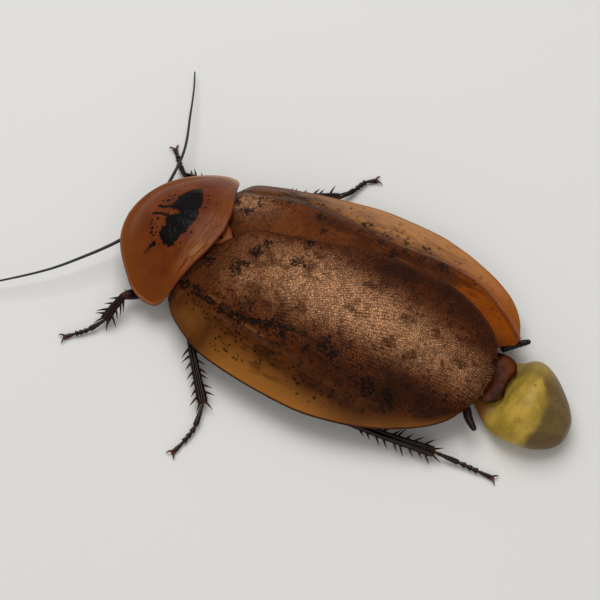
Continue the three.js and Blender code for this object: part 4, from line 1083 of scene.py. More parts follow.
def make_hind_wings():
    """The folded hind wings, hidden between the covers and the belly."""
    thickness = in_mm(bpy.context.scene.roach_sizes.hind_wing_thickness)
    for name, side in (("left", 1), ("right", -1)):
        inner = [(side * 0.6, y) for y in (7.5, 18, 30, 42, 49)]
        outer = [(side * a, b) for a, b in ((9, 7.5), (14, 18), (16, 30), (13.6, 42), (7, 50))]
        x, y, u = wing_grid(inner, outer, 90, 60, 0.5)
        vein = 1 - ramp(np.abs(((u * 14) % 1.0) - 0.5) * 2, 0.1, 0.4)
        z = back_height(x, y) - 1.5 + 0.04 * vein + 0.06 * np.cos(u * 14 * np.pi)
        build = Build()
        add_sheet(build, np.stack([x, y, z], axis=2), thickness, vein=vein)
        build.make(f"hind_wing_{name}", hind_wing_membrane(), (f"hindwing_{name}",))


def trunk_rings(y, grow, sides):
    """Rings of the body below the covers, grown by a few tenths at each plate's rear."""
    half = look_up(TRUNK_HALF, y) + grow
    top = back_height(np.zeros_like(y), y) - BODY_CLEARANCE
    low = look_up(BELLY_HEIGHT, y) - grow * 0.4
    middle = low + (top - low) * 0.42
    angle = ring_angles(sides)
    high = np.sin(angle)[None, :]
    reach = np.where(high > 0, (top - middle)[:, None], (middle - low)[:, None])
    x = half[:, None] * np.cos(angle)[None, :]
    yy = np.broadcast_to(y[:, None], x.shape)
    z = np.minimum(middle[:, None] + reach * high, back_height(x, yy) - BODY_CLEARANCE)
    return x, yy, z


def make_trunk():
    """Belly with overlapping plates, the chest between the legs and the neck piece."""
    sides = int(160 * FINE)
    for name, node, stations in (
        ("belly", "abdomen", [17.3, 23, 28.5, 34, 39.5, 44.5, 49.5, 54.7]),
        ("chest", "thorax", [1.2, 9, 17.0]),
    ):
        ys, grow, seam, pale = [], [], [], []
        for a, b in zip(stations[:-1], stations[1:]):
            t = np.linspace(0, 1, int(30 * FINE))
            ys.append(a + (b - a) * (t * 0.985 + 0.005))
            grow.append(-0.42 + 0.42 * ramp(t, 0, 0.75) - 0.2 * ramp(t, 0.93, 1.0))
            seam.append(ramp(t, 0.72, 0.95) * 0.8)
            pale.append(1 - ramp(t, 0.02, 0.14))
        y = np.concatenate(ys)
        x, yy, z = trunk_rings(y, np.concatenate(grow) - 0.05, sides)
        seam = np.broadcast_to(np.concatenate(seam)[:, None], x.shape)
        pale = np.broadcast_to(np.concatenate(pale)[:, None], x.shape)
        flank = bump_at(np.abs(x) / np.abs(x).max(1, keepdims=True), 0.93, 0.05) * (z < 7)
        lump = layered_noise(x * 0.6, yy * 0.8, 51) - 0.5
        rings = np.stack([x, yy, z + 0.12 * lump * (z < 6)], axis=2)
        build = Build()
        add_rings(build, rings, seam=np.maximum(seam, 0.3 * flank), pale=pale * 0.6)
        build.make(name, belly_chitin(), (node,))
    y = np.linspace(-4.05, 0.6, 26)
    half = look_up([(-4.1, 1.9), (-3.1, 3.3), (-1.2, 5.3), (0.7, 6.3)], y)
    low = look_up([(-4.1, 6.3), (-3.1, 5.35), (-1.2, 4.6), (0.7, 4.6)], y)
    top = look_up([(-4.1, 8.9), (-3.1, 10.3), (-1.2, 11.1), (0.7, 9.0)], y)
    angle = ring_angles(64)
    x = half[:, None] * np.cos(angle)[None, :]
    z = ((low + top) / 2)[:, None] + ((top - low) / 2)[:, None] * np.sin(angle)[None, :]
    yy = np.broadcast_to(y[:, None], x.shape)
    build = Build()
    add_rings(build, np.stack([x, yy, z], axis=2), pale=0.3 + 0 * x)
    build.make("neck_piece", belly_chitin(), ("prothorax",))


HEAD_TOP = np.array([0, -8.0, 8.3])
HEAD_DOWN = np.array([0, 0.52, -0.85]) / np.hypot(0.52, 0.85)
HEAD_FRONT = np.array([0, -0.85, -0.52]) / np.hypot(0.85, 0.52)


def head_point(side, front, down):
    """A point from its distances along the head's own directions."""
    side, front, down = (np.asarray(a, float)[..., None] for a in (side, front, down))
    return HEAD_TOP + np.array([1.0, 0, 0]) * side + HEAD_FRONT * front + HEAD_DOWN * down


def head_stack(stops, rings, sides):
    """Rings down the head from stops of down, half width, half depth, front, sideways."""
    stops = np.array([list(s) + [0] * (5 - len(s)) for s in stops], float)
    down = np.linspace(stops[0, 0], stops[-1, 0], rings)
    columns = [look_up(list(zip(stops[:, 0], stops[:, c])), down) for c in range(1, 5)]
    angle = ring_angles(sides)
    side = columns[3][:, None] + columns[0][:, None] * np.cos(angle)[None, :]
    front = columns[2][:, None] + columns[1][:, None] * np.sin(angle)[None, :]
    return side, front, np.broadcast_to(down[:, None], side.shape)


def make_head():
    """Face shell, kidney-shaped eyes, jaws, lips and palps."""
    side, front, down = head_stack([
        (-0.08, 0.8, 0.6), (0.25, 2.05, 1.3), (1.0, 2.95, 1.7), (2.2, 3.35, 1.9), (3.5, 3.15, 1.85),
        (4.6, 2.55, 1.65), (5.45, 1.95, 1.35),
    ], 60, 80)
    pits = sum(hill(side, down, s * 1.55, 2.5, 0.5, 0.5) for s in (-1, 1)) * (front > 0)
    suture = bump_at(down, 4.5, 0.12) * (front > 0) * 0.6
    front = front - 0.3 * pits - 0.12 * suture
    pale = bump_at(down, 0.9, 0.35) * (np.abs(side) < 1.6) + ramp(down, 4.4, 4.9) * 0.7 + pits * 0.5
    pale = np.clip(pale, 0, 1) * (front > 0)
    build = Build()
    add_rings(build, head_point(side, front, down), pale=pale)
    build.make("face", face_chitin(), ("head",))
    for name, s in (("left", 1), ("right", -1)):
        a, b, c = head_stack([
            (0.4, 0.3, 0.45, 0.1, s * 2.75), (0.8, 0.7, 1.0, 0.15, s * 3.0),
            (1.6, 0.78, 1.3, 0.25, s * 3.18),
            (2.5, 0.74, 1.25, 0.4, s * 3.2), (3.3, 0.55, 0.85, 0.5, s * 3.02),
            (3.65, 0.22, 0.35, 0.5, s * 2.92),
        ], 40, 48)
        notch = np.exp(-(((b - 1.5) / 0.5) ** 2 + ((c - 2.5) / 0.45) ** 2))
        build = Build()
        add_rings(build, head_point(a + s * 0.02 - s * 0.3 * notch, b - 0.35 * notch, c))
        build.make(f"compound_eye_{name}", eye_facets(), (f"eye_{name}",))
    jaw = [(5.4, 0.6, 0.3, 0.95), (6.2, 0.52, 0.28, 0.88), (6.8, 0.35, 0.24, 0.7), (7.08, 0.14, 0.14, 0.55)]
    mouth = (
        ("upper_lip", "labrum", [
            (5.5, 1.2, 0.38, 0.9), (6.2, 1.22, 0.38, 1.0), (6.7, 1.0, 0.34, 1.0), (6.95, 0.5, 0.25, 1.0),
        ]),
        ("lower_lip", "labium", [
            (5.5, 1.2, 0.3, -0.9), (6.3, 1.28, 0.32, -0.97), (6.9, 0.9, 0.28, -0.96),
            (7.15, 0.4, 0.2, -0.95),
        ]),
        ("jaw_left", "mandible_left", [(*stop[:3], 0, stop[3]) for stop in jaw]),
        ("jaw_right", "mandible_right", [(*stop[:3], 0, -stop[3]) for stop in jaw]),
    )
    for name, node, stops in mouth:
        a, b, c = head_stack(stops, 22, 28)
        build = Build()
        add_rings(build, head_point(a, b, c), joint=ramp(c, 6.2, 7.0) * ("jaw" in name))
        build.make(name, mouth_chitin(), (node,))
    for name, s in (("left", 1), ("right", -1)):
        joints = [
            (s * 2.0, -4.0, 2.8), (s * 2.9, -4.9, 1.9), (s * 3.2, -6.2, 1.35), (s * 3.1, -7.4, 1.5),
            (s * 2.8, -8.5, 1.4), (s * 2.6, -9.1, 1.15),
        ]
        t = np.linspace(0, 1, 60)
        path = evenly(joints, 60)
        pinch = 1 - 0.4 * np.maximum.reduce([bump_at(t, j, 0.018) for j in (0.18, 0.42, 0.62, 0.82)])
        width = look_up([(0, 0.26), (0.4, 0.32), (0.8, 0.32), (0.93, 0.4), (1, 0.16)], t) * pinch
        build = Build()
        add_tube(build, np.column_stack([path, width, width]), 16, joint=1 - ramp(pinch, 0.7, 0.95))
        build.make(f"palp_{name}", mouth_chitin(), (f"maxillary_palp_{name}",))


def make_feelers():
    """Two long tapering feelers of many small rings, each with a stout first joint."""
    left = [
        head_point(1.9, 2.9, 2.35), (4.6, -11.4, 4.6), (7.4, -13.2, 4.3), (11.0, -15.8, 4.1),
        (16.4, -20.4, 3.6), (22.0, -27.0, 2.7), (26.3, -33.4, 1.3),
    ]
    right = [
        head_point(-1.9, 2.9, 2.35), (-4.8, -10.9, 4.4), (-8.4, -10.8, 4.0), (-15.6, -11.8, 3.9),
        (-23.2, -14.9, 3.1), (-28.6, -17.3, 2.2), (-32.6, -19.4, 1.3),
    ]
    root = [(1.5, 1.7, 2.6), (1.65, 2.1, 2.5), (1.8, 2.7, 2.4), (2.0, 3.2, 2.25), (2.2, 3.6, 2.1)]
    thickest = in_mm(bpy.context.scene.roach_sizes.feeler_radius)
    for name, s, points in (("left", 1, left), ("right", -1, right)):
        count = int(620 * FINE)
        path = evenly([np.ravel(p) for p in points], count)
        t = np.linspace(0, 1, count)
        radius = thickest - 0.22 * t**0.8
        ring = (t * 95) % 1.0
        radius = radius * (0.86 + 0.2 * ramp(ring, 0.0, 0.55) * (1 - ramp(ring, 0.85, 1.0)))
        build = Build()
        add_tube(build, np.column_stack([path, radius, radius]), 10, joint=(1 - ramp(ring, 0.05, 0.2)) * 0.8)
        base = np.array([np.ravel(head_point(s * a, b, c)) for a, b, c in root])
        width = np.array([0.42, 0.55, 0.62, 0.56, 0.36])
        stops = smooth_path(np.column_stack([base, width, width]), 24)
        add_tube(build, stops, 20, (1, 0, 0), joint=np.linspace(0.6, 0, 24))
        build.make(f"feeler_{name}", feeler_chitin(), (f"antenna_{name}",))


def segment_stops(points, count, width, depth):
    """Stops along one leg segment, and the share of the way along it."""
    path = evenly(points, count)
    t = np.linspace(0, 1, count)
    return np.column_stack([path, width(t), depth(t)]), t


def rounded(t, start=0.04, end=0.04):
    """Closes both ends of a segment with a short dome."""
    return np.sqrt(np.clip(1 - np.clip(1 - t / start, 0, 1) ** 2, 0, 1)) * np.sqrt(
        np.clip(1 - np.clip(1 - (1 - t) / end, 0, 1) ** 2, 0, 1)) + 0.02


def heading_at(path, i, reach=1):
    """The way the path runs at point i."""
    ahead = path[i + reach] - path[i - reach]
    return ahead / np.linalg.norm(ahead)


def swell(t):
    """How a thigh thickens towards its middle."""
    return np.sin(np.pi * (0.2 + 0.72 * t)) ** 0.7


def grooved(across, high, t):
    """Sinks a groove along the top and the bottom of a shin."""
    return across + 0 * t, high * (1 - 0.42 * bump_at(across, 0, 0.3)) + 0 * t


def add_hip(build, hip):
    """The flat broad first segment, under the body."""
    stops, t = segment_stops(
        hip, 36,
        lambda t: (1.85 - 0.7 * t) * rounded(t, 0.12, 0.1),
        lambda t: (1.0 - 0.15 * t) * rounded(t, 0.12, 0.1),
    )
    add_tube(build, stops, 36, joint=ramp(t, 0.86, 1.0) * 0.5)


def add_thigh(build, thigh, size):
    """A flattened, swollen thigh with four thorns below its rear edge."""
    stops, t = segment_stops(
        thigh, 56,
        lambda t: size * 1.12 * (0.35 + 0.82 * swell(t)) * rounded(t, 0.05, 0.05),
        lambda t: (0.35 + 0.56 * swell(t)) * rounded(t, 0.05, 0.05),
    )
    add_tube(build, stops, 36, joint=ramp(t, 0.9, 1.0) * 0.6 + (1 - ramp(t, 0.0, 0.08)) * 0.5)
    axis = stops[:, :3]
    for i in range(20, 56, 9):
        heading = heading_at(axis, i)
        out = np.cross(heading, (0, 0, 1))
        out *= -np.sign(out[1]) if abs(out[1]) > 0.2 else 1
        lean = out * 0.6 + heading * 0.5 + np.array([0, 0, -0.25])
        add_spine(build, axis[i] + out * stops[i, 3] * 0.8, lean, 1.1, 0.14)


def add_shin(build, shin, size, spines):
    """A grooved shin with two rows of spines in their sockets, two end spurs and short hairs."""
    shortest = in_mm(bpy.context.scene.roach_sizes.spine_length)
    stops, t = segment_stops(
        shin, 64,
        lambda t: size * look_up(SHIN_WIDTH, t) * rounded(t, 0.03, 0.03),
        lambda t: look_up(SHIN_DEPTH, t) * rounded(t, 0.03, 0.03),
    )
    joint = (1 - ramp(t, 0.02, 0.1)) * 0.5 + ramp(t, 0.93, 1.0) * 0.3
    add_tube(build, stops, 40, shape=grooved, joint=joint)
    axis = stops[:, :3]
    for j in range(spines):
        share = 0.18 + 0.78 * (j // 2 + 0.5 * (j % 2) + RANDOM.uniform(-0.22, 0.22)) / (spines / 2)
        i = int(np.clip(share, 0, 0.96) * 63)
        heading = heading_at(axis, i)
        out = np.cross(heading, (0, 0, 1))
        out /= np.linalg.norm(out)
        out = out if j % 2 else -out
        tilt = 0.1 if j % 4 < 2 else -0.05
        length = (shortest + 1.0 * RANDOM.random()) * (1.0 + 0.25 * (share > 0.85))
        root = axis[i] + out * stops[i, 3] * 0.75
        lean = out + heading * RANDOM.uniform(0.4, 0.9) + np.array([0, 0, tilt])
        add_spine(build, root, lean, length, 0.25, heading * 0.3, 7, joint=0.15)
        socket = root[None] + out[None] * np.array([-0.1, 0.05, 0.15, 0.22])[:, None]
        width = [0.22, 0.27, 0.26, 0.1]
        add_tube(build, np.column_stack([socket, width, width]), 8, joint=0.5)

    heading = axis[-1] - axis[-6]
    heading /= np.linalg.norm(heading)
    out = np.cross(heading, (0, 0, 1))
    out /= np.linalg.norm(out)
    for turn, length in ((1, 1.9), (-1, 1.7)):
        lean = heading + out * turn * 0.55 + np.array([0, 0, -0.1])
        add_spine(build, axis[-2] + out * turn * 0.6, lean, length, 0.2, (0, 0, 0), 7, joint=0.15)
    for _ in range(46):
        i = int(RANDOM.integers(8, 62))
        turn = RANDOM.choice([-1, 1])
        lean = out * turn * 0.8 + heading * 0.5 + np.array([0, 0, RANDOM.uniform(-0.2, 0.7)])
        root = axis[i] + out * turn * stops[i, 3] * 0.8
        add_spine(build, root, lean, RANDOM.uniform(0.35, 0.75), 0.035, sides=3, joint=0.3)


def add_foot(build, foot):
    """A five-jointed foot: a long first joint, three short ones and a long last one, with pads below."""
    path = evenly(foot, 150)
    t = np.linspace(0, 1, 150)
    limits = np.array([0, 0.42, 0.54, 0.65, 0.75, 1.001])
    which = np.clip(np.searchsorted(limits, t, side="right") - 1, 0, 4)
    local = (t - limits[which]) / (limits[which + 1] - limits[which])
    last_joint = np.where(which == 4, 0.85, 1.0)
    radius = (0.27 + 0.19 * ramp(local, 0, 0.85)) * (1 - 0.35 * ramp(local, 0.93, 1.0)) * last_joint
    radius = radius * rounded(t, 0.02, 0.015)
    joint = np.maximum(1 - ramp(local, 0.0, 0.12), ramp(local, 0.94, 1.0)) * 0.8
    add_tube(build, np.column_stack([path, radius, radius * 0.92]), 18, joint=joint)
    for limit in limits[1:5]:
        i = int(limit * 149) - 3
        low = path[i] + np.array([0, 0, -0.22])
        along = np.linspace(path[i - 4], path[i + 3], 6) + (low - path[i])
        pad = np.column_stack([
            along, [0.08, 0.26, 0.32, 0.32, 0.24, 0.06], [0.05, 0.14, 0.18, 0.18, 0.14, 0.05],
        ])
        add_tube(build, pad, 10, pad=1.0)
    for _ in range(40):
        i = int(RANDOM.integers(6, 140))
        ahead = heading_at(path, i, 5)
        across = np.cross(ahead, (0, 0, 1))
        turn = RANDOM.choice([-1, 1])
        lean = across * turn + ahead * 0.8 + np.array([0, 0, RANDOM.uniform(-0.5, 0.6)])
        root = path[i] + across * turn * radius[i] * 0.8
        add_spine(build, root, lean, 0.38, 0.03, sides=3, joint=0.4)
    add_claws(build, path)


def add_claws(build, path):
    """The pad at the end of the foot and the two claws beside it."""
    tip = path[-1]
    ahead = path[-1] - path[-12]
    ahead = np.array([ahead[0], ahead[1], 0]) / np.hypot(ahead[0], ahead[1])
    across = np.array([ahead[1], -ahead[0], 0])
    sole = np.column_stack([
        np.array([tip[0], tip[1], 0.2]) + ahead * np.array([-0.8, -0.45, 0.0, 0.3, 0.45])[:, None],
        [0.1, 0.34, 0.42, 0.34, 0.1], [0.08, 0.17, 0.2, 0.18, 0.08],
    ])
    add_tube(build, sole, 14, pad=1.0)
    width = [0.2, 0.18, 0.12, 0.03]
    for turn in (-1, 1):
        spread = ahead + across * turn * 0.75
        spread /= np.linalg.norm(spread)
        root = tip - ahead * 0.25 + np.array([0, 0, 0.02])
        rises = ((0.0, 0.0), (0.6, 0.22), (1.15, 0.06), (1.5, -0.32))
        curve = np.array([root + spread * reach + (0, 0, rise) for reach, rise in rises])
        stops = smooth_path(np.column_stack([curve, width, width]), 18)
        add_tube(build, stops, 10, joint=np.linspace(0.9, 0.6, 18))


def make_leg(name, hip, thigh, shin, foot, spines):
    """One leg from hip to claws. The thigh and shin overlap a ball at the knee."""
    size = 1.05 if name.startswith("hind") else 0.95
    knee = np.array(shin[0])
    knuckle = (np.array(thigh[-1]) + knee) / 2
    aim = np.array(shin[1]) - knee
    aim /= np.linalg.norm(aim)
    thigh_root = np.array(hip[-1]) * 0.7 + np.array(thigh[0]) * 0.3
    thigh_end = knuckle + (knee - thigh[-1]) * 0.4
    foot_root = np.array(shin[-1]) * 1.2 - np.array(foot[0]) * 0.2
    build = Build()
    add_hip(build, hip)
    add_thigh(build, [thigh_root, *thigh[1:-1], thigh_end], size)
    ball = np.sin(np.linspace(0.05, np.pi - 0.05, 14))
    along = knuckle + aim * (np.linspace(-0.62, 0.62, 14))[:, None]
    add_tube(build, np.column_stack([along, ball * 0.66, ball * 0.6]), 24, joint=0.45)
    add_shin(build, [knuckle - aim * 0.35, *shin[1:]], size, spines)
    add_foot(build, [foot_root, *foot[1:]])
    nodes = tuple(f"{part}_{name}" for part in ("coxa", "femur", "tibia", "tarsus"))
    build.make(f"leg_{name}", leg_chitin(), nodes)


def make_pouch():
    """The pushed-out egg pouch, taut and lumpy, flat where it rests."""
    stops = [
        (54.9, 3.6, 1.6, 4.2, 0.1), (56.6, 4.8, 0.75, 4.25, 0.1), (58.6, 6.3, 0.15, 4.25, 0.1),
        (60.2, 7.2, -0.5, 4.6, 0.1), (61.4, 7.7, -0.9, 6.7, 0.2), (63.0, 7.8, -1.2, 8.4, 0.3),
        (65.0, 7.4, -1.3, 8.9, 0.6), (67.2, 6.5, -1.2, 8.4, 1.1), (69.0, 5.3, -0.9, 7.4, 1.4),
        (70.6, 3.9, -0.3, 6.1, 1.6), (71.7, 2.3, 0.7, 4.8, 1.7), (72.0, 1.1, 1.7, 3.9, 1.7),
        (72.1, 0.3, 2.4, 3.2, 1.7),
    ]
    rings, sides = int(150 * FINE), int(160 * FINE)
    share = np.linspace(0, len(stops) - 1, rings)
    y, half, low, top, shift = (look_up(list(enumerate(column)), share) for column in zip(*stops))
    angle = ring_angles(sides)
    x = shift[:, None] + half[:, None] * np.cos(angle)[None, :]
    z = ((low + top) / 2)[:, None] + ((top - low) / 2)[:, None] * np.sin(angle)[None, :]
    yy = np.broadcast_to(y[:, None], x.shape).copy()
    lump = (layered_noise(x * 0.3 + 9, (yy + z) * 0.3, 61) - 0.5) * 0.5
    crease = bump_at(np.hypot((x - 3.6) / 7.0, (yy - 61.6) / 5.9), 1.06, 0.09) * ramp(z, 1, 5) * 0.2
    inward = np.stack([x - shift[:, None], 0 * x, z - 4.0], axis=2)
    inward /= np.maximum(0.5, np.linalg.norm(inward, axis=2, keepdims=True))
    body = ramp(yy, 60.8, 63.5)
    move = ((lump - 0.25) * 0.12 - crease * 0.12) * body
    x, z = x + inward[..., 0] * move, z + inward[..., 2] * move
    z = np.where(z < 0.35, 0.35 * np.exp((z - 0.35) / 0.6), z)
    z = np.maximum(z, 0.0)
    # Grey-brown on the outer part of the lobe, away from the light: partly the contents showing through,
    # partly painted shade.
    lobe = np.hypot((x - 3.6) / 7.0, (yy - 61.6) / 5.9) + (layered_noise(x * 0.45, yy * 0.45, 5) - 0.5) * 0.28
    grey = ramp(lobe, 0.9, 1.12) * (1 - 0.55 * ramp(-x, 1, 5) * (1 - ramp(yy, 64, 68)))
    collar = 1 - ramp(yy, 57.5, 60.3)
    speckle = ramp(value_noise(x * 2.3, yy * 2.3 + z, 71), 0.955, 0.985) * 0.8
    build = Build()
    add_rings(build, np.stack([x, yy, z], axis=2), grey=grey, collar=collar, speckle=speckle)
    build.make("egg_pouch", pouch_skin(), ("brood_sac",))


def make_tail():
    """The lobed plate over the pouch and the two tail feelers."""
    rows, columns = int(60 * FINE), int(90 * FINE)
    v, u = np.meshgrid(np.linspace(0, 1, rows), np.linspace(-1, 1, columns), indexing="ij")
    y = 54.95 + 5.1 * v
    half = look_up([(54.9, 4.4), (56.6, 4.75), (58.2, 4.65), (59.4, 3.85), (60.1, 2.4)], y)
    top = look_up([(54.9, 5.55), (56.6, 5.65), (58.2, 5.7), (59.4, 5.68), (60.1, 5.5)], y)
    x = half * u - 0.6
    y = y - 0.5 * ramp(v, 0.78, 1.0) * (1 - np.abs(u))
    z = top - 0.42 * u**2 - 0.12 * bump_at(u, 0, 0.12) - 0.1 * ramp(v, 0.9, 1)
    thickness = in_mm(bpy.context.scene.roach_sizes.tail_plate_thickness)
    rim = np.maximum(ramp(np.abs(u), 0.85, 0.97), ramp(v, 0.9, 0.98))
    blots = ramp(layered_noise(x * 0.8, y * 0.8, 3), 0.45, 0.7)
    build = Build()
    add_sheet(
        build, np.stack([x, y, z], axis=2), thickness,
        seam=np.clip(0.2 + rim * 0.4 + 0.6 * blots, 0, 1), pale=0 * x,
    )
    build.make("tail_plate", belly_chitin(), ("supra_anal_plate",))
    for name, points in (
        ("left", [(6.2, 55.2, 4.2), (7.7, 56.4, 4.1), (9.4, 58.4, 4.3)]),
        ("right", [(-6.4, 55.5, 4.5), (-8.1, 57.0, 4.3), (-10.1, 59.4, 4.5)]),
    ):
        path = evenly(points, 120)
        t = np.linspace(0, 1, 120)
        ring = (t * 10) % 1.0
        radius = (0.68 * (1 - 0.5 * t**2.2)) * (0.9 + 0.12 * np.sin(np.pi * ring)) * rounded(t, 0.05, 0.08)
        build = Build()
        joint = (1 - ramp(ring, 0.0, 0.2)) * 0.4
        add_tube(build, np.column_stack([path, radius * 1.15, radius]), 24, joint=joint)
        for _ in range(60):
            i = int(RANDOM.integers(8, 116))
            turn = RANDOM.uniform(0, 2 * np.pi)
            out = np.array([math.cos(turn), 0.4, math.sin(turn)])
            root = path[i] + out * radius[i] * 0.7
            add_spine(build, root, out, RANDOM.uniform(0.3, 0.8), 0.025, sides=3)
        build.make(f"tail_feeler_{name}", leg_chitin(), (f"cercus_{name}",))


def make_stage():
    """Pale floor, one wide soft light above, a weak fill, and the camera at the photo's angle."""
    colours, stage = bpy.context.scene.roach_colours, bpy.context.scene.roach_stage
    target = (np.array(ANIMAL_MIDDLE) + SHIFT) * 0.001
    bpy.ops.mesh.primitive_plane_add(size=6.0, location=(target[0], target[1], 0.0))
    floor = bpy.context.object
    floor.name = "floor"
    floor.data.materials.append(floor_board())
    world = bpy.data.worlds.new("studio")
    bpy.context.scene.world = world
    world.use_nodes = True
    world.node_tree.nodes["Background"].inputs["Color"].default_value = colours.sky_white
    world.node_tree.nodes["Background"].inputs["Strength"].default_value = stage.sky_power
    for name, spot, size, power in (
        ("softbox_above", (-0.16, -0.15, 0.49), 0.42, stage.key_power),
        ("softbox_front", (0.40, 0.22, 0.30), 0.44, stage.fill_power),
    ):
        data = bpy.data.lights.new(name, "AREA")
        data.shape = "SQUARE"
        data.size = size
        data.energy = power
        lamp = bpy.data.objects.new(name, data)
        lamp.location = Vector(target) + Vector(spot)
        lamp.rotation_euler = (Vector(target) - lamp.location).to_track_quat("-Z", "Y").to_euler()
        bpy.context.scene.collection.objects.link(lamp)
    camera_data = bpy.data.cameras.new("photo_view")
    camera_data.sensor_width = 36.0
    camera_data.lens = stage.lens
    camera_data.clip_start = 0.01
    camera = bpy.data.objects.new("photo_view", camera_data)
    rise, turn = stage.camera_rise, stage.camera_turn
    out = Vector((math.sin(turn) * math.cos(rise), -math.cos(turn) * math.cos(rise), math.sin(rise)))
    camera.location = Vector(target) + out * stage.camera_distance
    camera.rotation_euler = (-out).to_track_quat("-Z", "Y").to_euler()
    bpy.context.scene.collection.objects.link(camera)
    bpy.context.scene.camera = camera
    bpy.context.scene.view_settings.view_transform = "Standard"


# ---- Settings ----
def paint(name, text, value):
    """One colour setting, from its sRGB hex value."""
    return bpy.props.FloatVectorProperty(
        name=name, description=text, subtype="COLOR", size=4, min=0.0, max=1.0, default=linear(value),
    )


def measure(name, text, millimetres):
    """One size setting, kept in metres."""
    return bpy.props.FloatProperty(
        name=name, description=text, unit="LENGTH", precision=5, min=0.00001, default=millimetres / 1000.0,
    )


class RoachColours(bpy.types.PropertyGroup):
    """Colours of the shells, skin and floor."""

    shield_brown: paint("Shield brown", "Brown body of the shield", "#5c2608")
    shield_orange: paint("Shield orange", "Orange-brown cloud of the shield", "#6b3008")
    shield_amber: paint("Shield amber", "Amber glow near the shield's rim", "#733a0b")
    shield_disc: paint("Shield disc", "Darker middle of the shield", "#521f08")
    # Scratches at the shield's rear and the painted highlight on them.
    shield_scratch_sheen: paint("Shield stripe", "Scratches at the shield's rear", "#a8764a")
    shield_rim: paint("Shield rim", "Pale bead round the shield", "#b08d68")
    shield_line: paint("Shield line", "Dark red line inside the rear bead", "#4a0f08")
    shield_blotch: paint("Shield blotch", "Black blotch and spots", "#040202")
    wing_brown: paint("Wing brown", "Brown of the wing covers", "#5a2a0c")
    wing_copper: paint("Wing copper", "Coppery brown of the wing covers", "#703610")
    # Tan, with the painted sheen of the covers' middle and of the right cover's field.
    wing_tan_and_sheen: paint("Wing tan", "Tan grain in the middle of the covers", "#dc9a68")
    # Painted glints on the brightest grains of the covers.
    wing_glint: paint("Wing spark", "Brightest grain of the covers", "#f9cda4")
    tip_orange: paint("Tip orange", "Orange tip of the right cover", "#8f4400")
    wing_rust: paint("Wing rust", "Rust brown near the roots", "#6f360d")
    # Dark bands of the covers, partly painted shade.
    wing_shade: paint("Wing shade", "Dark bands of the covers", "#2a0e02")
    wing_pepper: paint("Wing pepper", "Dark cell walls", "#1a0903")
    wing_vein: paint("Wing vein", "Long veins", "#260f04")
    wing_speckle: paint("Wing speckle", "Dark red specks", "#1c0a04")
    wing_mark: paint("Wing mark", "Black-brown marks", "#080302")
    # Thin dark margin, and painted shadow along the inner edges.
    wing_rim_and_edge_shadow: paint("Wing rim", "Thin dark margin", "#261005")
    field_amber: paint("Field amber", "Outer field of the covers", "#401e07")
    field_honey: paint("Field honey", "Honey cloud of the outer field", "#542b0c")
    field_gold: paint("Field gold", "Gold edge of the outer field", "#9c6428")
    field_dark: paint("Field dark", "Smoky parts of the outer field", "#1c0701")
    leg_black: paint("Leg black", "Leg shell", "#0a0302")
    leg_brown: paint("Leg brown", "Leg shell, redder", "#1c0804")
    leg_joint: paint("Leg joint", "Leg joints and claws", "#5a2212")
    leg_pad: paint("Leg pad", "Pads under the feet", "#5a4636")
    feeler_black: paint("Feeler black", "Feelers", "#0f0b09")
    feeler_brown: paint("Feeler brown", "Rings of the feelers", "#33211a")
    face_dark: paint("Face dark", "Face shell", "#1d0d08")
    face_brown: paint("Face brown", "Face shell, lighter", "#40200f")
    face_pale: paint("Face pale", "Pale yoke of the face", "#8f6236")
    eye_black: paint("Eye black", "Eyes", "#050505")
    eye_edge: paint("Eye edge", "Edges of the eye facets", "#1a1512")
    mouth_amber: paint("Mouth amber", "Mouthparts", "#8a5526")
    mouth_brown: paint("Mouth brown", "Mouthparts, darker", "#4c2812")
    belly_red: paint("Belly red", "Belly plates", "#4c1c00")
    belly_brown: paint("Belly brown", "Belly plates, lighter", "#642f02")
    belly_seam: paint("Belly seam", "Dark rear edge of each plate", "#1f0e07")
    belly_pale: paint("Belly pale", "Skin between plates", "#9a6a3a")
    membrane_tan: paint("Membrane tan", "Hind wings", "#94714a")
    pouch_olive: paint("Pouch olive", "Pouch, olive", "#92792c")
    pouch_yellow: paint("Pouch yellow", "Pouch, yellow", "#b4963c")
    pouch_amber: paint("Pouch amber", "Pouch, amber cloud", "#7d6420")
    pouch_grey: paint("Pouch grey", "Pouch, grey-brown end", "#6f5c36")
    pouch_brown: paint("Pouch brown", "Pouch, brown end", "#5d4726")
    pouch_collar: paint("Pouch collar", "Pouch where it leaves the belly", "#70461a")
    pouch_speck: paint("Pouch speck", "Specks on the pouch", "#2a1a0c")
    floor_white: paint("Floor white", "Floor", "#d8d8d6")
    sky_white: paint("Sky white", "Sky fill", "#fbf6ef")


class RoachSizes(bpy.types.PropertyGroup):
    """Sizes of the plates, veins and spines."""

    shield_thickness: measure("Shield thickness", "Depth of the shield under its top", 0.55)
    triangle_thickness: measure("Root triangle thickness", "Depth of the triangle at the wing roots", 0.4)
    cover_thickness: measure("Wing cover thickness", "Depth of a leathery wing cover", 0.28)
    hind_wing_thickness: measure("Hind wing thickness", "Depth of a folded hind wing", 0.2)
    tail_plate_thickness: measure("Tail plate thickness", "Depth of the lobed plate at the tail", 0.35)
    vein_spacing: measure("Vein spacing", "From one vein to the next in the outer field", 0.72)
    rung_spacing: measure("Cross vein spacing", "From one cross vein to the next", 0.46)
    vein_height: measure("Vein height", "How far a vein stands out of its cover", 0.045)
    spine_length: measure("Spine length", "The shortest spine of a shin", 1.15)
    feeler_radius: measure("Feeler radius", "Half the width of a feeler at its root", 0.36)


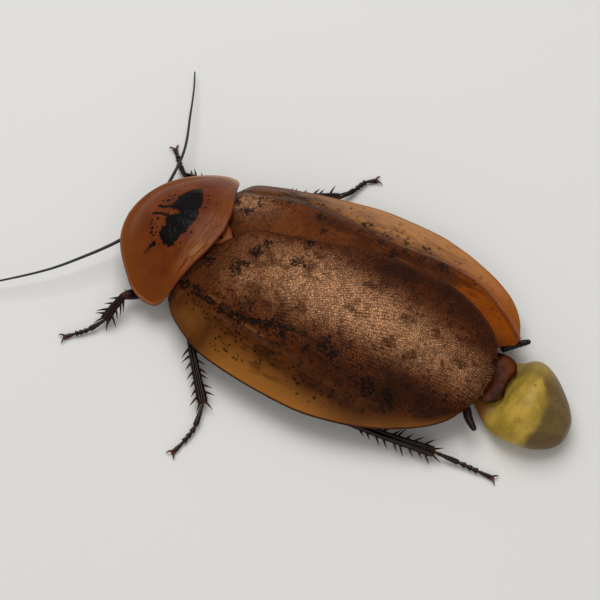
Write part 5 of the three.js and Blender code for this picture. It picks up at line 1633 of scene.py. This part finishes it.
class RoachStage(bpy.types.PropertyGroup):
    """Light and camera."""

    key_power: bpy.props.FloatProperty(
        name="Upper light", description="Power of the light above", unit="POWER", default=2.15)
    fill_power: bpy.props.FloatProperty(
        name="Side light", description="Power of the side light", unit="POWER", default=0.7)
    sky_power: bpy.props.FloatProperty(
        name="Sky fill", description="Strength of the light from all round", default=0.38)
    lens: bpy.props.FloatProperty(
        name="Lens", description="Focal length in millimetres", unit="CAMERA", default=139.7)
    camera_distance: bpy.props.FloatProperty(
        name="Camera distance", description="From the camera to its target", unit="LENGTH", default=0.4)
    camera_rise: bpy.props.FloatProperty(
        name="Camera rise", description="Angle above the floor", subtype="ANGLE",
        default=math.radians(61.6))
    camera_turn: bpy.props.FloatProperty(
        name="Camera turn", description="Angle round the animal from its head", subtype="ANGLE",
        default=math.radians(118.4))


# ---- Operators and panel ----
class ROACH_OT_shield(bpy.types.Operator):
    """Build the shield and the triangle behind it"""

    bl_idname = "roach.shield"
    bl_label = "Shield"

    def execute(self, context):
        make_shield()
        make_root_triangle()
        return {"FINISHED"}


class ROACH_OT_wings(bpy.types.Operator):
    """Build the wing covers and the hind wings"""

    bl_idname = "roach.wings"
    bl_label = "Wings"

    def execute(self, context):
        make_wing_cover(1, "wing_cover_left", LEFT_INNER, LEFT_OUTER, 0.5, 0.7, LEFT_MARKS, 101)
        make_wing_cover(-1, "wing_cover_right", RIGHT_INNER, RIGHT_OUTER, -0.42, 0.5, RIGHT_MARKS, 205)
        make_hind_wings()
        return {"FINISHED"}


class ROACH_OT_trunk(bpy.types.Operator):
    """Build the belly, chest and neck"""

    bl_idname = "roach.trunk"
    bl_label = "Trunk"

    def execute(self, context):
        make_trunk()
        return {"FINISHED"}


class ROACH_OT_head(bpy.types.Operator):
    """Build the face, eyes and mouthparts"""

    bl_idname = "roach.head"
    bl_label = "Head"

    def execute(self, context):
        make_head()
        return {"FINISHED"}


class ROACH_OT_feelers(bpy.types.Operator):
    """Build the two feelers"""

    bl_idname = "roach.feelers"
    bl_label = "Feelers"

    def execute(self, context):
        make_feelers()
        return {"FINISHED"}


class ROACH_OT_legs(bpy.types.Operator):
    """Build the six legs"""

    bl_idname = "roach.legs"
    bl_label = "Legs"

    def execute(self, context):
        for name, (hip, thigh, shin, foot, spines) in LEGS.items():
            make_leg(name, hip, thigh, shin, foot, spines)
        return {"FINISHED"}


class ROACH_OT_tail(bpy.types.Operator):
    """Build the pouch, the tail plate and the tail feelers"""

    bl_idname = "roach.tail"
    bl_label = "Tail"

    def execute(self, context):
        make_pouch()
        make_tail()
        return {"FINISHED"}


class ROACH_OT_stage(bpy.types.Operator):
    """Build the floor, lights and camera"""

    bl_idname = "roach.stage"
    bl_label = "Stage"

    def execute(self, context):
        make_stage()
        return {"FINISHED"}


OPERATORS = (
    ROACH_OT_shield, ROACH_OT_wings, ROACH_OT_trunk, ROACH_OT_head,
    ROACH_OT_feelers, ROACH_OT_legs, ROACH_OT_tail, ROACH_OT_stage,
)


class ROACH_PT_sidebar(bpy.types.Panel):
    """Lists the pieces and their settings"""

    bl_label = "Cockroach"
    bl_idname = "ROACH_PT_sidebar"
    bl_space_type = "VIEW_3D"
    bl_region_type = "UI"
    bl_category = "Cockroach"

    def draw(self, context):
        scene = context.scene
        for kind in OPERATORS:
            self.layout.operator(kind.bl_idname)
        for group in (scene.roach_sizes, scene.roach_stage, scene.roach_colours):
            for key in type(group).__annotations__:
                self.layout.prop(group, key)


CLASSES = (RoachColours, RoachSizes, RoachStage, *OPERATORS, ROACH_PT_sidebar)


def register():
    """Registers the classes and hangs the settings on the scene."""
    for kind in CLASSES:
        bpy.utils.register_class(kind)
    bpy.types.Scene.roach_colours = bpy.props.PointerProperty(type=RoachColours)
    bpy.types.Scene.roach_sizes = bpy.props.PointerProperty(type=RoachSizes)
    bpy.types.Scene.roach_stage = bpy.props.PointerProperty(type=RoachStage)


def unregister():
    """Takes the settings and the classes away again."""
    del bpy.types.Scene.roach_stage, bpy.types.Scene.roach_sizes, bpy.types.Scene.roach_colours
    for kind in reversed(CLASSES):
        bpy.utils.unregister_class(kind)


def main():
    """Builds every piece and the stage in order."""
    register()
    bpy.ops.roach.shield()
    bpy.ops.roach.wings()
    bpy.ops.roach.trunk()
    bpy.ops.roach.head()
    bpy.ops.roach.feelers()
    bpy.ops.roach.legs()
    bpy.ops.roach.tail()
    bpy.ops.roach.stage()


if __name__ == "__main__":
    main()
